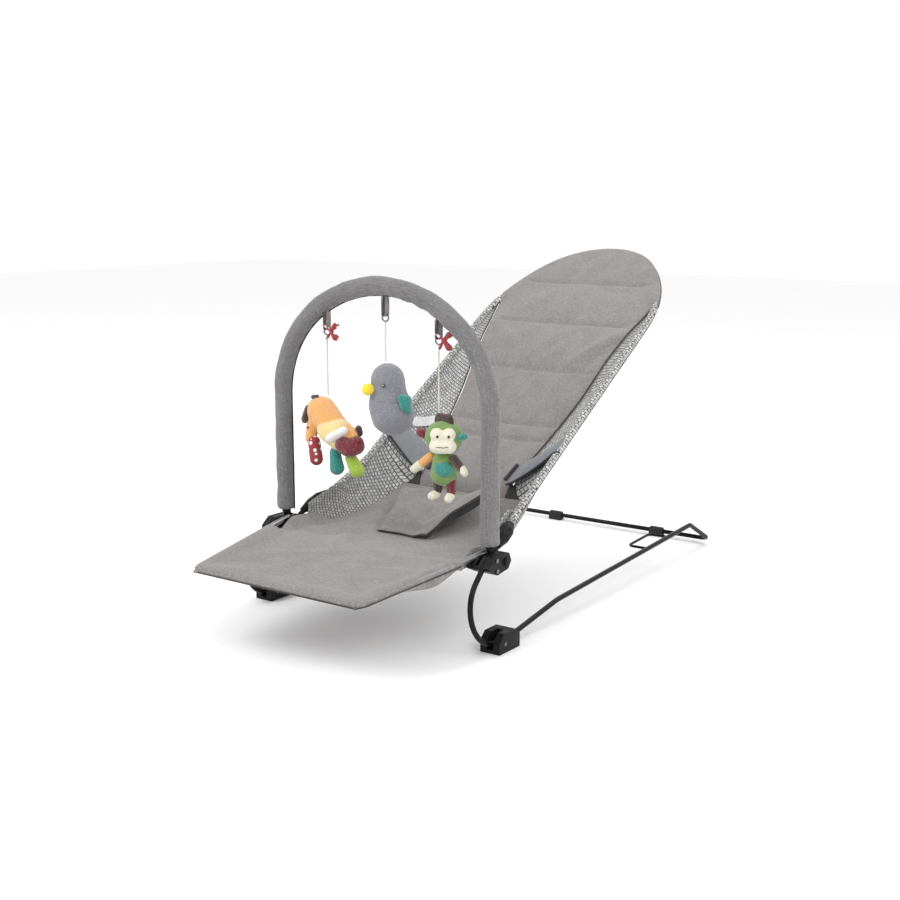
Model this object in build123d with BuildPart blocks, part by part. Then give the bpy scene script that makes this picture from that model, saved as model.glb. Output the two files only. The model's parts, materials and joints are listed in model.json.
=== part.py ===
from build123d import *
import os
from math import atan2, cos, degrees, radians, sin, sqrt

# Baby bouncer seat. Millimetres. X to the right and Y towards the head, both seen from the
# foot end; Z up from the floor. The origin is on the floor under the middle of the seat.
# Left is -X and right is +X.
os.makedirs("parts", exist_ok=True)
SIDES = (("left", -1), ("right", 1))

# ---------------------------------------------------------------- driving dimensions
# Floor frame, one bent spring-steel wire each side
foot_spread = 380.0  # between the centres of the front feet
wire_d = 7.0
rail_low_z = 10.0  # rail's centre where it leaves the front foot
rail_bend_y = -75.0  # where the rail's slope eases
rail_bend_z = 28.0
rail_knee_y = 332.0  # where the rail drops to the floor
rail_knee_z = 46.0
crossbar_y = 404.0
crossbar_z = 8.0
rear_foot_x = 97.0
rear_foot_d = 13.0
rear_foot_length = 24.0
loop_front = 187.0  # the stop loops' ends along the rail
loop_back = 255.0
loop_reach = 32.0
loop_wire_d = 4.0

# Front feet, which hold the spring legs
foot_width = 29.0
foot_length = 46.0
foot_height = 25.0
spring_pivot_y = -222.0
spring_pivot_z = 11.0
spring_pin_d = 5.0
spring_eye_d = 11.0
spring_radius = 46.0  # of the C bend
spring_turn = 140.0  # degrees that the C bend turns through
spring_top_run = 38.0  # straight stretch above the bend

# Hinge, one housing each side
hinge_x = 170.0  # plane of the toy arch's legs
hinge_y = -199.0
hinge_z = 109.0
housing_width = 30.0
hinge_pin_d = 6.0
eye_d = 14.0
eye_thickness = 4.0
housing_nose = 42.0  # from the hinge's axis to the housing's pointed front
housing_deep = 14.0  # below the axis
housing_tall = 10.0  # above the axis
housing_tail = 13.0  # behind the axis
corner_radius = 3.0  # of the moulded parts
cover_thickness = 3.0
cover_bevel = 1.0
button_d = 11.0
button_travel = 3.0
button_depth = 9.0
button_crown = 2.0
screw_d = 3.0
screw_length = 4.0
screw_head_height = 1.2

# Seat frame, a steel rod
rod_d = 8.0
leg_foot_y = -417.0
leg_foot_z = 98.0
leg_foot_x = 130.0
leg_slope = 5.7  # degrees
sleeve_length = 42.0  # of the moulded sleeve on the back rod
leg_corner_radius = 16.0
back_x = 146.0  # half of the back's width, at the rod's centre
back_angle = 31.6  # degrees from the floor
back_straight = 400.0  # from the seat bend to the start of the head curve
head_depth = 197.0  # from the end of the straight sides to the top
head_top_radius = 112.0
bend_y = -99.0  # a point on the back's plane
bend_z = 152.0
arm_back = 23.0  # where the back rod starts, behind and above the hinge's axis
arm_rise = 14.0
arm_neck = 16.0  # from the hinge's axis to the neck's round part
hip_out = 5.0  # the rod's bend at the hip: further out than the back, ahead of and below its bend
hip_ahead = 19.0
hip_drop = 5.0
waist_along = 46.0  # distance up the back where the rod joins its plane
rod_bend_radius = 120.0
sleeve_start = -6.0  # along the rod from its end
sleeve_widths = ((12.0, 9.0), (28.0, 9.5))  # distance along the rod and radius
sleeve_root_radius = 4.2
sleeve_end_radius = 6.0

# Fabric
pad_thickness = 10.0
pad_top_x = 126.0  # half width of the quilted pad where it meets the head
pad_low_x = 77.0  # half width at its lower end
pad_low = 76.0  # distance along the back where the pad starts
pad_shoulder = 14.0  # below the head curve, where the pad widens to the rods
sling_depths = ((pad_low, -36.0), (160.0, -33.0), (250.0, -24.0), (330.0, -7.0), (back_straight, -1.0))
mesh_thickness = 3.0
mesh_gap = 2.0  # between the mesh and the pads' edges
hip_y = -182.0  # front edge of the seat panel
lap_y = -25.0  # rear edge of the seat panel, which laps the back pad
panel_rear_x = 103.0  # half width there
panel_inset = 8.0  # the panel's front corners, in from the leg rods
panel_heights = ((hip_y, -3.0), (-120.0, 0.0), (-60.0, 16.0), (lap_y, 35.0))  # above the hinge
flap_front_x = 38.0  # crotch flap: half widths, ends, thickness and height above the seat panel
flap_rear_x = 78.0
flap_front_y = -166.0
flap_rear_y = -62.0
flap_thickness = 9.0
flap_lift = 3.0
strap_y = 8.0
strap_inset = 9.0  # from the rod and from the pad's edge
strap_lift = 5.0  # above the mesh, which bows between the rod and the pad
strap_width = 32.0
strap_thickness = 2.0

# Toy arch
arch_straight_z = 290.0  # top of the straight legs
arch_rise = 153.0  # from there to the crown
arch_crown_radius = 186.0
arch_y = -207.0
arch_bottom_z = 128.0
arch_tube_d = 10.0
arch_sleeve_d = 25.0
spigot_d = 6.0
spigot_length = 40.0
TABS = {"left": -90.0, "centre": 8.0, "right": 92.0}  # the toys' places along X
tab_length = 26.0
tab_width = 10.0
tab_thickness = 4.0
tab_eye_radius = 2.4
tab_eye_up = 4.0  # the eye's centre above the tab's end
collar_drop = 3.0  # the arch clip's collar, below the arch tube's end
collar_thickness = 2.5
ring_radius = 5.0
ring_wire_d = 2.0
string_d = 2.0
string_lengths = {"left": 80.0, "centre": 50.0, "right": 85.0}

# Clearances
running = 0.05  # radial, round pins and spigots
gap = 0.5  # between soft parts and what they lie beside
slot_gap = 0.3  # each side of a plate in its slot


# ---------------------------------------------------------------- helpers
def save(piece, name):
    """Label the finished piece and write its STEP file."""
    piece.part.label = name
    export_step(piece.part, f"parts/{name}.step")
    return piece


def bent_rod(points, radii, diameter):
    """A round rod on straight runs joined by tangent arcs."""
    with BuildPart() as rod:
        with BuildLine() as path:
            FilletPolyline(*points, radius=radii)
        with BuildSketch(Plane(path.line @ 0, z_dir=path.line % 0)):
            Circle(diameter / 2)
        sweep()
    return rod


def cross_pin(x_from, x_to, y, z, radius, mode=Mode.ADD):
    """A cylinder along X, in the current part."""
    middle = (x_from + x_to) / 2
    with Locations(Location((middle, y, z), (0, 90, 0))):
        Cylinder(radius, abs(x_to - x_from), mode=mode)


def side_plane(x):
    """The YZ plane at x: local x runs along Y and local y along Z."""
    return Plane(origin=(x, 0, 0), x_dir=(0, 1, 0), z_dir=(1, 0, 0))


def capsule(start, end, radius):
    """A round-ended limb, in the current part."""
    run = Vector(*end) - Vector(*start)
    with Locations(Plane(origin=Vector(*start) + run * 0.5, z_dir=run).location):
        Cylinder(radius, run.length)
    with Locations(start, end):
        Sphere(radius)


def oval_side_radius(half_width, height, top_radius):
    """Radius of the side arcs of a three-arc oval that end square to its base."""
    rise = height - top_radius
    return (half_width**2 + rise**2 - top_radius**2) / (2 * (half_width - top_radius))


def oval_points(half_width, height, top_radius):
    """Middle and end of the right side arc of a three-arc oval, from its base's centre."""
    side_radius = oval_side_radius(half_width, height, top_radius)
    centre_x = half_width - side_radius
    angle = atan2(height - top_radius, -centre_x)
    if side_radius < top_radius:
        angle = atan2(top_radius - height, centre_x)
    middle = (centre_x + side_radius * cos(angle / 2), side_radius * sin(angle / 2))
    end = (centre_x + side_radius * cos(angle), side_radius * sin(angle))
    return middle, end


# ---------------------------------------------------------------- floor frame
foot_x = foot_spread / 2
foot_front = spring_pivot_y - 14.0
foot_back = foot_front + foot_length
foot_slot_width = spring_eye_d - 1.0
web_front = spring_pivot_y + spring_eye_d / 2 + 4.5  # solid part of the foot, behind the eye
rail_slope = (rail_bend_z - rail_low_z) / (rail_bend_y - foot_back)
rail_start_z = rail_low_z + (web_front - foot_back) * rail_slope


def base_rail(side):
    """Rail from the front foot, over the knee, round the rear corner to the rear foot."""
    x = side * foot_x
    points = [
        (x, web_front, rail_start_z),
        (x, rail_bend_y, rail_bend_z),
        (x, rail_knee_y, rail_knee_z),
        (x, crossbar_y, crossbar_z),
        (side * rear_foot_x, crossbar_y, crossbar_z),
    ]
    return bent_rod(points, [120.0, 14.0, 14.0], wire_d)


rails = {name: save(base_rail(side), f"base_rail_{name}") for name, side in SIDES}

crossbar_end = rear_foot_x - gap
with BuildPart() as rear_crossbar:
    cross_pin(-crossbar_end, crossbar_end, crossbar_y, crossbar_z, wire_d / 2)
save(rear_crossbar, "rear_crossbar")


def rear_foot(name, side):
    """Rubber sleeve over the wire joint, with a flat sole on the floor."""
    x = side * rear_foot_x
    with BuildPart() as foot:
        with BuildSketch(side_plane(x)):
            with Locations((crossbar_y, crossbar_z)):
                Circle(rear_foot_d / 2)
            with Locations((crossbar_y, crossbar_z / 2)):
                Rectangle(rear_foot_d, crossbar_z)
        extrude(amount=rear_foot_length / 2, both=True)
        end_edges = foot.edges().filter_by(GeomType.CIRCLE)
        chamfer(end_edges, 1.5)
        add(rear_crossbar.part, mode=Mode.SUBTRACT)
        add(rails[name].part, mode=Mode.SUBTRACT)
        cross_pin(x - gap, x + gap, crossbar_y, crossbar_z, wire_d / 2, Mode.SUBTRACT)
    return foot


def front_foot(name, side):
    """Moulded block: the rail's end sits in its web and the spring leg turns in its slot."""
    x = side * foot_x
    half = foot_width / 2
    slot_floor = spring_pivot_z - spring_eye_d / 2 - 1.0
    slot_front = foot_front - 10.0
    with BuildPart() as foot:
        with BuildSketch(side_plane(x)) as outline:
            with BuildLine():
                Polyline(
                    (foot_front, 0),
                    (foot_back, 0),
                    (foot_back, foot_height * 0.7),
                    (foot_back - foot_length * 0.2, foot_height),
                    (spring_pivot_y - 4.0, foot_height),
                    (foot_front, foot_height * 0.6),
                    close=True,
                )
            make_face()
            fillet(outline.vertices().filter_by(lambda v: v.Y > 1.0), corner_radius)
        extrude(amount=half, both=True)
        with BuildSketch(side_plane(x)):
            with Locations(((slot_front + web_front) / 2, slot_floor + foot_height)):
                Rectangle(web_front - slot_front, 2 * foot_height)
        extrude(amount=foot_slot_width / 2, both=True, mode=Mode.SUBTRACT)
        cross_pin(x - half, x + half, spring_pivot_y, spring_pivot_z, spring_pin_d / 2, Mode.SUBTRACT)
        add(rails[name].part, mode=Mode.SUBTRACT)
    return foot


def stop_loop(side):
    """Thin wire loop welded to the inside of the rail, a stop for the folded back."""
    slope = (rail_knee_z - rail_bend_z) / (rail_knee_y - rail_bend_y)

    def at(inward, y):
        return (side * (foot_x - inward), y, rail_bend_z + (y - rail_bend_y) * slope)

    weld = wire_d / 2 - 1.0
    outer = [at(loop_reach, loop_front), at(loop_reach, loop_back)]
    points = [at(weld, loop_front), *outer, at(weld, loop_back)]
    return bent_rod(points, [8.0, 8.0], loop_wire_d)


for name, side in SIDES:
    save(rear_foot(name, side), f"rear_foot_{name}")
    save(front_foot(name, side), f"front_foot_{name}")
    save(stop_loop(side), f"stop_loop_{name}")

with BuildPart() as spring_pins:
    for _, side in SIDES:
        middle = side * foot_x
        half = foot_width / 2
        cross_pin(middle - half, middle + half, spring_pivot_y, spring_pivot_z, spring_pin_d / 2)
save(spring_pins, "spring_pins")


# ---------------------------------------------------------------- spring legs
spring_top_x = hinge_x + 8.0  # where the spring leg enters its housing


def spring_leg(side):
    """C-shaped spring wire from the eye in the foot up into the hinge housing."""
    end_angle = radians(270.0 - spring_turn)
    rise = spring_radius * (1 + sin(end_angle)) - spring_top_run * cos(end_angle)
    lean = Vector(side * (spring_top_x - foot_x), 0, rise).normalized()
    bottom = (side * foot_x, spring_pivot_y - 3.0, spring_pivot_z)
    leg_plane = Plane(origin=bottom, x_dir=(0, 1, 0), z_dir=Vector(0, 1, 0).cross(lean))
    with BuildPart() as leg:
        with BuildLine(leg_plane) as path:
            root = Line((3.0 - spring_eye_d / 4, 0), (0, 0))
            bend = CenterArc((0, spring_radius), spring_radius, -90, -spring_turn)
            Line(bend @ 1, bend @ 1 + (bend % 1) * spring_top_run)
        with BuildSketch(Plane(root @ 0, z_dir=root % 0)):
            Circle(wire_d / 2)
        sweep()
        eye_half = (foot_slot_width - 2 * slot_gap) / 2
        x = side * foot_x
        cross_pin(x - eye_half, x + eye_half, spring_pivot_y, spring_pivot_z, spring_eye_d / 2)
        bore = spring_pin_d / 2 + running
        cross_pin(x - eye_half, x + eye_half, spring_pivot_y, spring_pivot_z, bore, Mode.SUBTRACT)
    return leg


spring_legs = {name: save(spring_leg(side), f"spring_leg_{name}") for name, side in SIDES}


# ---------------------------------------------------------------- seat frame's leg part
housing_inner = hinge_x - 14.0
leg_rear_y = hinge_y - 13.0
leg_rear_x = hinge_x - 7.0  # the rods' plane at the hinge
leg_plane = Plane(
    origin=(0, leg_foot_y, leg_foot_z),
    x_dir=(1, 0, 0),
    z_dir=(0, -sin(radians(leg_slope)), cos(radians(leg_slope))),
)
leg_run = (leg_rear_y - leg_foot_y) / cos(radians(leg_slope))

with BuildPart() as leg_frame:
    with BuildLine(leg_plane) as path:
        FilletPolyline(
            (-leg_rear_x, leg_run),
            (-leg_foot_x, 0),
            (leg_foot_x, 0),
            (leg_rear_x, leg_run),
            radius=leg_corner_radius,
        )
    with BuildSketch(Plane(path.line @ 0, z_dir=path.line % 0)):
        Circle(rod_d / 2)
    sweep()
save(leg_frame, "leg_frame")

# The pad fills the frame from rod to rod; its cover wraps the rods.
rod_clear = rod_d / 2 + gap
with BuildPart() as leg_pad:
    with BuildSketch(leg_plane.offset(-pad_thickness * 0.8)) as outline:
        with BuildLine():
            front_x = leg_foot_x - rod_clear
            rear_x = housing_inner - gap
            Polyline(
                (-front_x, rod_clear),
                (front_x, rod_clear),
                (rear_x, leg_run - gap),
                (-rear_x, leg_run - gap),
                close=True,
            )
        make_face()
        fillet(outline.vertices().sort_by(Axis.Y)[:2], leg_corner_radius - rod_d / 2)
    extrude(amount=pad_thickness)
save(leg_pad, "leg_pad")


# ---------------------------------------------------------------- hinge housings
housing_outer = housing_inner + housing_width
arm_x = leg_rear_x  # plane of the recline arm's eye
eye_clear = eye_d / 2 + slot_gap * 2


def housing_outline():
    """Side outline of the housing, low and pointed at the front and round at the back."""
    return [
        (hinge_y - housing_nose, hinge_z - corner_radius),
        (hinge_y - housing_nose * 0.43, hinge_z - housing_deep),
        (hinge_y + housing_tail * 0.46, hinge_z - housing_deep + corner_radius),
        (hinge_y + housing_tail, hinge_z - cover_bevel),
        (hinge_y + housing_tail * 0.62, hinge_z + housing_tall),
        (hinge_y - housing_nose * 0.62, hinge_z + housing_tall),
    ]


def hinge_housing(name, side):
    """Moulded housing: it grips the spring leg and the leg rod, and holds both hinge slots."""
    start = side * housing_inner
    with BuildPart() as housing:
        with BuildSketch(side_plane(start)) as outline:
            with BuildLine():
                Polyline(*housing_outline(), close=True)
            make_face()
            fillet(outline.vertices(), corner_radius)
        extrude(amount=side * housing_width)
        slot_half = eye_thickness / 2 + slot_gap
        for x in (arm_x, hinge_x):
            with BuildSketch(side_plane(side * x)):
                with Locations((hinge_y, hinge_z)):
                    Circle(eye_clear)
            extrude(amount=slot_half, both=True, mode=Mode.SUBTRACT)
        with BuildSketch(side_plane(side * arm_x)):
            with Locations((hinge_y, hinge_z - 40.0)):
                Rectangle(80.0, 80.0, align=(Align.MIN, Align.MIN))
        extrude(amount=slot_half, both=True, mode=Mode.SUBTRACT)
        with BuildSketch(side_plane(side * hinge_x)):
            with Locations((hinge_y, hinge_z)):
                Rectangle(160.0, 80.0, align=(Align.CENTER, Align.MIN))
        extrude(amount=slot_half, both=True, mode=Mode.SUBTRACT)
        far = side * housing_outer
        cross_pin(start, far - side * button_depth, hinge_y, hinge_z, hinge_pin_d / 2, Mode.SUBTRACT)
        well = far - side * button_depth
        cross_pin(well, far, hinge_y, hinge_z, button_d / 2 + slot_gap, Mode.SUBTRACT)
        for point in screw_points:
            cross_pin(far - side * screw_length, far, *point, screw_d / 2, Mode.SUBTRACT)
        add(spring_legs[name].part, mode=Mode.SUBTRACT)
        add(leg_frame.part, mode=Mode.SUBTRACT)
    return housing


def hinge_cover(side):
    """Outer cap of the housing, with the button's opening and two screw holes."""
    start = side * housing_outer
    end = start + side * cover_thickness
    with BuildPart() as cover:
        with BuildSketch(side_plane(start)) as outline:
            with BuildLine():
                Polyline(*housing_outline(), close=True)
            make_face()
            fillet(outline.vertices(), corner_radius)
        extrude(amount=side * cover_thickness)
        chamfer(cover.faces().sort_by(Axis.X)[-1 if side > 0 else 0].edges(), cover_bevel)
        cross_pin(start, end, hinge_y, hinge_z, button_d / 2 + slot_gap, Mode.SUBTRACT)
        for point in screw_points:
            cross_pin(start, end, *point, screw_d / 2, Mode.SUBTRACT)
    return cover


def lock_button(side):
    """Button in the middle of the hinge; pressing it frees the back."""
    inner = side * (housing_outer - button_depth + button_travel + slot_gap)
    outer = side * (housing_outer + cover_thickness + button_travel)
    with BuildPart() as button:
        cross_pin(inner, outer, hinge_y, hinge_z, button_d / 2)
        crown = button.faces().sort_by(Axis.X)[-1 if side > 0 else 0]
        fillet(crown.edges(), button_crown)
    return button


screw_points = ((hinge_y - 20.0, hinge_z - 8.0), (hinge_y - 21.0, hinge_z + 5.5))

for name, side in SIDES:
    save(hinge_housing(name, side), f"hinge_housing_{name}")
    save(hinge_cover(side), f"hinge_cover_{name}")
    save(lock_button(side), f"lock_button_{name}")

with BuildPart() as hinge_pins:
    for _, side in SIDES:
        outer = side * (housing_outer - button_depth)
        cross_pin(side * housing_inner, outer, hinge_y, hinge_z, hinge_pin_d / 2)
save(hinge_pins, "hinge_pins")

with BuildPart() as cover_screws:
    for _, side in SIDES:
        seat = side * (housing_outer + cover_thickness)
        for point in screw_points:
            cross_pin(side * (housing_outer - screw_length), seat, *point, screw_d / 2)
            cross_pin(seat, seat + side * screw_head_height, *point, screw_d * 0.9)
save(cover_screws, "cover_screws")


# ---------------------------------------------------------------- back frame
slope = radians(back_angle)
back_plane = Plane(origin=(0, bend_y, bend_z), x_dir=(1, 0, 0), z_dir=(0, -sin(slope), cos(slope)))


def on_back(x, along, lift=0.0):
    """A point of the back: x across, distance along from the seat bend, lift off its plane."""
    return back_plane.from_local_coords(Vector(x, along, lift))


arm_start = Vector(arm_x, hinge_y + arm_back, hinge_z + arm_rise)
hip_point = Vector(back_x + hip_out, bend_y - hip_ahead, bend_z - hip_drop)
waist_point = on_back(back_x, waist_along)
arc_middle, arc_end = oval_points(back_x, head_depth, head_top_radius)


def mirrored(point, side):
    return (side * point.X, point.Y, point.Z)


with BuildPart() as back_frame:
    with BuildLine() as path:
        for _, side in SIDES:
            FilletPolyline(
                mirrored(arm_start, side),
                mirrored(hip_point, side),
                mirrored(waist_point, side),
                mirrored(on_back(back_x, back_straight), side),
                radius=[rod_bend_radius, rod_bend_radius],
            )
            ThreePointArc(
                mirrored(on_back(back_x, back_straight), side),
                mirrored(on_back(arc_middle[0], back_straight + arc_middle[1]), side),
                mirrored(on_back(arc_end[0], back_straight + arc_end[1]), side),
            )
        ThreePointArc(
            mirrored(on_back(arc_end[0], back_straight + arc_end[1]), -1),
            on_back(0, back_straight + head_depth),
            mirrored(on_back(arc_end[0], back_straight + arc_end[1]), 1),
        )
    start = Vector(mirrored(arm_start, -1))
    towards = Vector(mirrored(hip_point, -1)) - start
    with BuildSketch(Plane(start, z_dir=towards)):
        Circle(rod_d / 2)
    sweep(path=path.wires()[0])
save(back_frame, "back_frame")


def recline_arm(side):
    """Eye plate on the hinge pin, a neck, and the moulded sleeve that grips the back rod."""
    eye = Vector(arm_x, hinge_y, hinge_z)
    run = (arm_start - eye).normalized()
    neck = eye + run * arm_neck
    rod_run = (hip_point - arm_start).normalized()
    half = eye_thickness / 2
    with BuildPart() as arm:
        cross_pin(side * (arm_x - half), side * (arm_x + half), hinge_y, hinge_z, eye_d / 2)
        with BuildSketch(side_plane(side * arm_x)):
            with Locations(Location(((eye.Y + neck.Y) / 2, (eye.Z + neck.Z) / 2, 0),
                                    (0, 0, degrees(atan2(run.Z, run.Y))))):
                Rectangle((neck - eye).length + 4.0, wire_d)
        extrude(amount=half, both=True)
        capsule(mirrored(neck, side), mirrored(arm_start, side), wire_d / 2)
        root = (sleeve_start, sleeve_root_radius)
        for along, radius in (root, *sleeve_widths, (sleeve_length, sleeve_end_radius)):
            with BuildSketch(Plane(mirrored(arm_start + rod_run * along, side),
                                   z_dir=mirrored(rod_run, side))):
                Circle(radius)
        loft(ruled=True)
        cross_pin(side * (arm_x - half), side * (arm_x + half), hinge_y, hinge_z,
                  hinge_pin_d / 2 + running, Mode.SUBTRACT)
        add(back_frame.part, mode=Mode.SUBTRACT)
    return arm


for name, side in SIDES:
    save(recline_arm(side), f"recline_arm_{name}")


# ---------------------------------------------------------------- sling
def depth_at(along):
    """How far the sling's upper face lies below the back's plane."""
    for (a, da), (b, db) in zip(sling_depths, sling_depths[1:]):
        if along <= b:
            return da + (db - da) * (along - a) / (b - a)
    return sling_depths[-1][1]


def pad_half_width(along):
    share = (along - pad_low) / (back_straight - pad_shoulder - pad_low)
    return pad_low_x + (pad_top_x - pad_low_x) * share


back_run = on_back(0, 1) - on_back(0, 0)
back_side_plane = Plane(origin=back_plane.origin, x_dir=back_run, z_dir=(1, 0, 0))
head_a = back_x - rod_clear
head_b = head_depth - rod_clear
inner_middle, inner_end = oval_points(head_a, head_b, head_top_radius - rod_clear)

with BuildPart() as back_pad:
    with BuildSketch(back_side_plane):
        with BuildLine():
            top = Spline(*sling_depths, tangents=((1, 0.02), (1, 0)))
            head = Line(top @ 1, (back_straight + head_depth, sling_depths[-1][1]))
            Line(head @ 1, head @ 1 - Vector(0, pad_thickness))
            lower = [(a, d - pad_thickness) for a, d in sling_depths]
            low = Spline(*lower, tangents=((1, 0.02), (1, 0)))
            Line(low @ 1, head @ 1 - Vector(0, pad_thickness))
            Line(low @ 0, top @ 0)
        make_face()
    extrude(amount=back_x, both=True)
    with BuildSketch(back_plane.offset(-80.0)):
        with BuildLine():
            s0 = back_straight
            Polyline(
                (-head_a, s0),
                (-pad_top_x, s0 - pad_shoulder),
                (-pad_low_x, pad_low),
                (pad_low_x, pad_low),
                (pad_top_x, s0 - pad_shoulder),
                (head_a, s0),
                close=True,
            )
        make_face()
        with BuildLine():
            right = ThreePointArc((head_a, s0), (inner_middle[0], s0 + inner_middle[1]),
                                  (inner_end[0], s0 + inner_end[1]))
            crown = ThreePointArc(right @ 1, (0, s0 + head_b), (-inner_end[0], s0 + inner_end[1]))
            left = ThreePointArc(crown @ 1, (-inner_middle[0], s0 + inner_middle[1]), (-head_a, s0))
            Line(left @ 1, right @ 0)
        make_face(mode=Mode.ADD)
    extrude(amount=160.0, mode=Mode.INTERSECT)
save(back_pad, "back_pad")


# The seat panel runs on from the leg pad behind the hinge and laps over the back pad.
panel_front_x = leg_rear_x - rod_clear - panel_inset


def panel_z(y):
    """Height of the seat panel's upper face."""
    for (a, za), (b, zb) in zip(panel_heights, panel_heights[1:]):
        if y <= b:
            return hinge_z + za + (zb - za) * (y - a) / (b - a)
    return hinge_z + panel_heights[-1][1]


def panel_half_width(y):
    return panel_front_x + (panel_rear_x - panel_front_x) * (y - hip_y) / (lap_y - hip_y)


with BuildPart() as seat_panel:
    with BuildSketch(side_plane(0)):
        with BuildLine():
            top = Spline(*[(y, hinge_z + z) for y, z in panel_heights])
            low = Spline(*[(y, hinge_z + z - pad_thickness) for y, z in panel_heights])
            Line(top @ 0, low @ 0)
            Line(top @ 1, low @ 1)
        make_face()
    extrude(amount=panel_front_x, both=True)
    with BuildSketch(Plane.XY):
        with BuildLine():
            Polyline(
                (-panel_front_x, hip_y),
                (panel_front_x, hip_y),
                (panel_rear_x, lap_y),
                (-panel_rear_x, lap_y),
                close=True,
            )
        make_face()
    extrude(amount=hinge_z + 100.0, mode=Mode.INTERSECT)
save(seat_panel, "seat_panel")


def rod_at(y):
    """X and Z of the back rod's centre line where it passes y."""
    runs = (arm_start, hip_point, waist_point, on_back(back_x, back_straight))
    for a, b in zip(runs, runs[1:]):
        if y <= b.Y:
            share = (y - a.Y) / (b.Y - a.Y)
            return a.X + (b.X - a.X) * share, a.Z + (b.Z - a.Z) * share
    return runs[-1].X, runs[-1].Z


def mesh_inner(y):
    """X and Z of the mesh wall's inner edge: along the seat panel, then along the back pad."""
    if y <= lap_y:
        return panel_half_width(y) + mesh_gap, panel_z(y)
    along = (y - bend_y) / cos(slope)
    for _ in range(4):
        along = (y - bend_y + depth_at(along) * sin(slope)) / cos(slope)
    point = on_back(pad_half_width(along) + mesh_gap, along, depth_at(along))
    return point.X, point.Z


def mesh_section(side, y):
    """Corners of the mesh wall where it passes y, from the rod down to the pad."""
    rod_x, rod_z = rod_at(y)
    inner_x, inner_z = mesh_inner(y)
    run = Vector(inner_x - rod_x, inner_z - rod_z).normalized()
    beside = rod_clear if y > sleeve_end_y else sleeve_widths[-1][1]
    out = Vector(-run.Y, run.X) * -mesh_thickness
    top = Vector(rod_x, rod_z) + run * (beside + 3 * gap)
    low = Vector(inner_x, inner_z)
    corners = (top, low, low + out, top + out)
    return [(side * c.X, y, c.Y) for c in corners]


sleeve_end_y = (arm_start + (hip_point - arm_start).normalized() * (sleeve_length + 2.0)).Y
mesh_top_y = on_back(0, back_straight - pad_shoulder).Y
mesh_front = (hip_y + 22.0, sleeve_end_y - 2.0, sleeve_end_y + 10.0, -70.0, lap_y)
mesh_stations = (*mesh_front, 25.0, 90.0, 160.0, mesh_top_y)


def mesh_side(side):
    """Knitted mesh wall between the back rod and the pads."""
    with BuildPart() as wall:
        for y in mesh_stations:
            corners = mesh_section(side, y)
            with BuildSketch(Plane(origin=(0, y, 0), x_dir=(1, 0, 0), z_dir=(0, -1, 0))):
                with BuildLine():
                    Polyline(*[(c[0], c[2]) for c in corners], close=True)
                make_face()
        loft(ruled=True)
    return wall


# Harness: a wide crotch flap on the seat panel, and a strap each side from the back rod.
with BuildPart() as crotch_flap:
    with BuildSketch(side_plane(0)):
        heights = [(y, panel_z(y) + flap_lift) for y in (flap_front_y, -120.0, -90.0, flap_rear_y)]
        with BuildLine():
            low = Polyline(*heights)
            top = Polyline(*[(y, z + flap_thickness) for y, z in heights])
            Line(top @ 0, low @ 0)
            Line(top @ 1, low @ 1)
        make_face()
    extrude(amount=flap_rear_x, both=True)
    with BuildSketch(Plane.XY):
        with BuildLine():
            Polyline(
                (-flap_front_x, flap_front_y),
                (flap_front_x, flap_front_y),
                (flap_rear_x, flap_rear_y),
                (-flap_rear_x, flap_rear_y),
                close=True,
            )
        make_face()
    extrude(amount=hinge_z + 100.0, mode=Mode.INTERSECT)
save(crotch_flap, "crotch_flap")


def waist_strap(side):
    """Webbing from the back rod down the inside of the mesh wall to the pad."""
    rod_x, rod_z = rod_at(strap_y)
    inner_x, inner_z = mesh_inner(strap_y)
    start = Vector(side * rod_x, strap_y, rod_z)
    end = Vector(side * inner_x, strap_y, inner_z)
    run = (end - start).normalized()
    lift = run.cross(back_run) * side * -1
    length = (end - start).length - 2 * strap_inset
    middle = (start + end) * 0.5 + lift * strap_lift
    with BuildPart() as strap:
        with Locations(Plane(origin=middle, x_dir=run, z_dir=lift).location):
            Box(length, strap_width, strap_thickness)
    return strap


for name, side in SIDES:
    save(mesh_side(side), f"mesh_side_{name}")
    save(waist_strap(side), f"waist_strap_{name}")


# ---------------------------------------------------------------- toy arch
arch_plane = Plane(origin=(0, arch_y, 0), x_dir=(1, 0, 0), z_dir=(0, -1, 0))
arch_middle, arch_end = oval_points(hinge_x, arch_rise, arch_crown_radius)


def arch_solid(outer_d, inner_d):
    """A tube along the arch: two straight legs and a low oval crown."""
    with BuildPart() as tube:
        with BuildLine(arch_plane) as path:
            Line((-hinge_x, arch_bottom_z), (-hinge_x, arch_straight_z))
            ThreePointArc((-hinge_x, arch_straight_z), (-arch_middle[0], arch_straight_z + arch_middle[1]),
                          (-arch_end[0], arch_straight_z + arch_end[1]))
            ThreePointArc((-arch_end[0], arch_straight_z + arch_end[1]), (0, arch_straight_z + arch_rise),
                          (arch_end[0], arch_straight_z + arch_end[1]))
            ThreePointArc((arch_end[0], arch_straight_z + arch_end[1]),
                          (arch_middle[0], arch_straight_z + arch_middle[1]), (hinge_x, arch_straight_z))
            Line((hinge_x, arch_straight_z), (hinge_x, arch_bottom_z))
        with BuildSketch(Plane.XY.offset(arch_bottom_z)):
            with Locations((-hinge_x, arch_y)):
                Circle(outer_d / 2)
                Circle(inner_d / 2, mode=Mode.SUBTRACT)
        sweep(path=path.wires()[0])
    return tube


arch_tube = save(arch_solid(arch_tube_d, spigot_d + 2 * running), "arch_tube")
arch_sleeve = save(arch_solid(arch_sleeve_d, arch_tube_d), "arch_sleeve")


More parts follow.
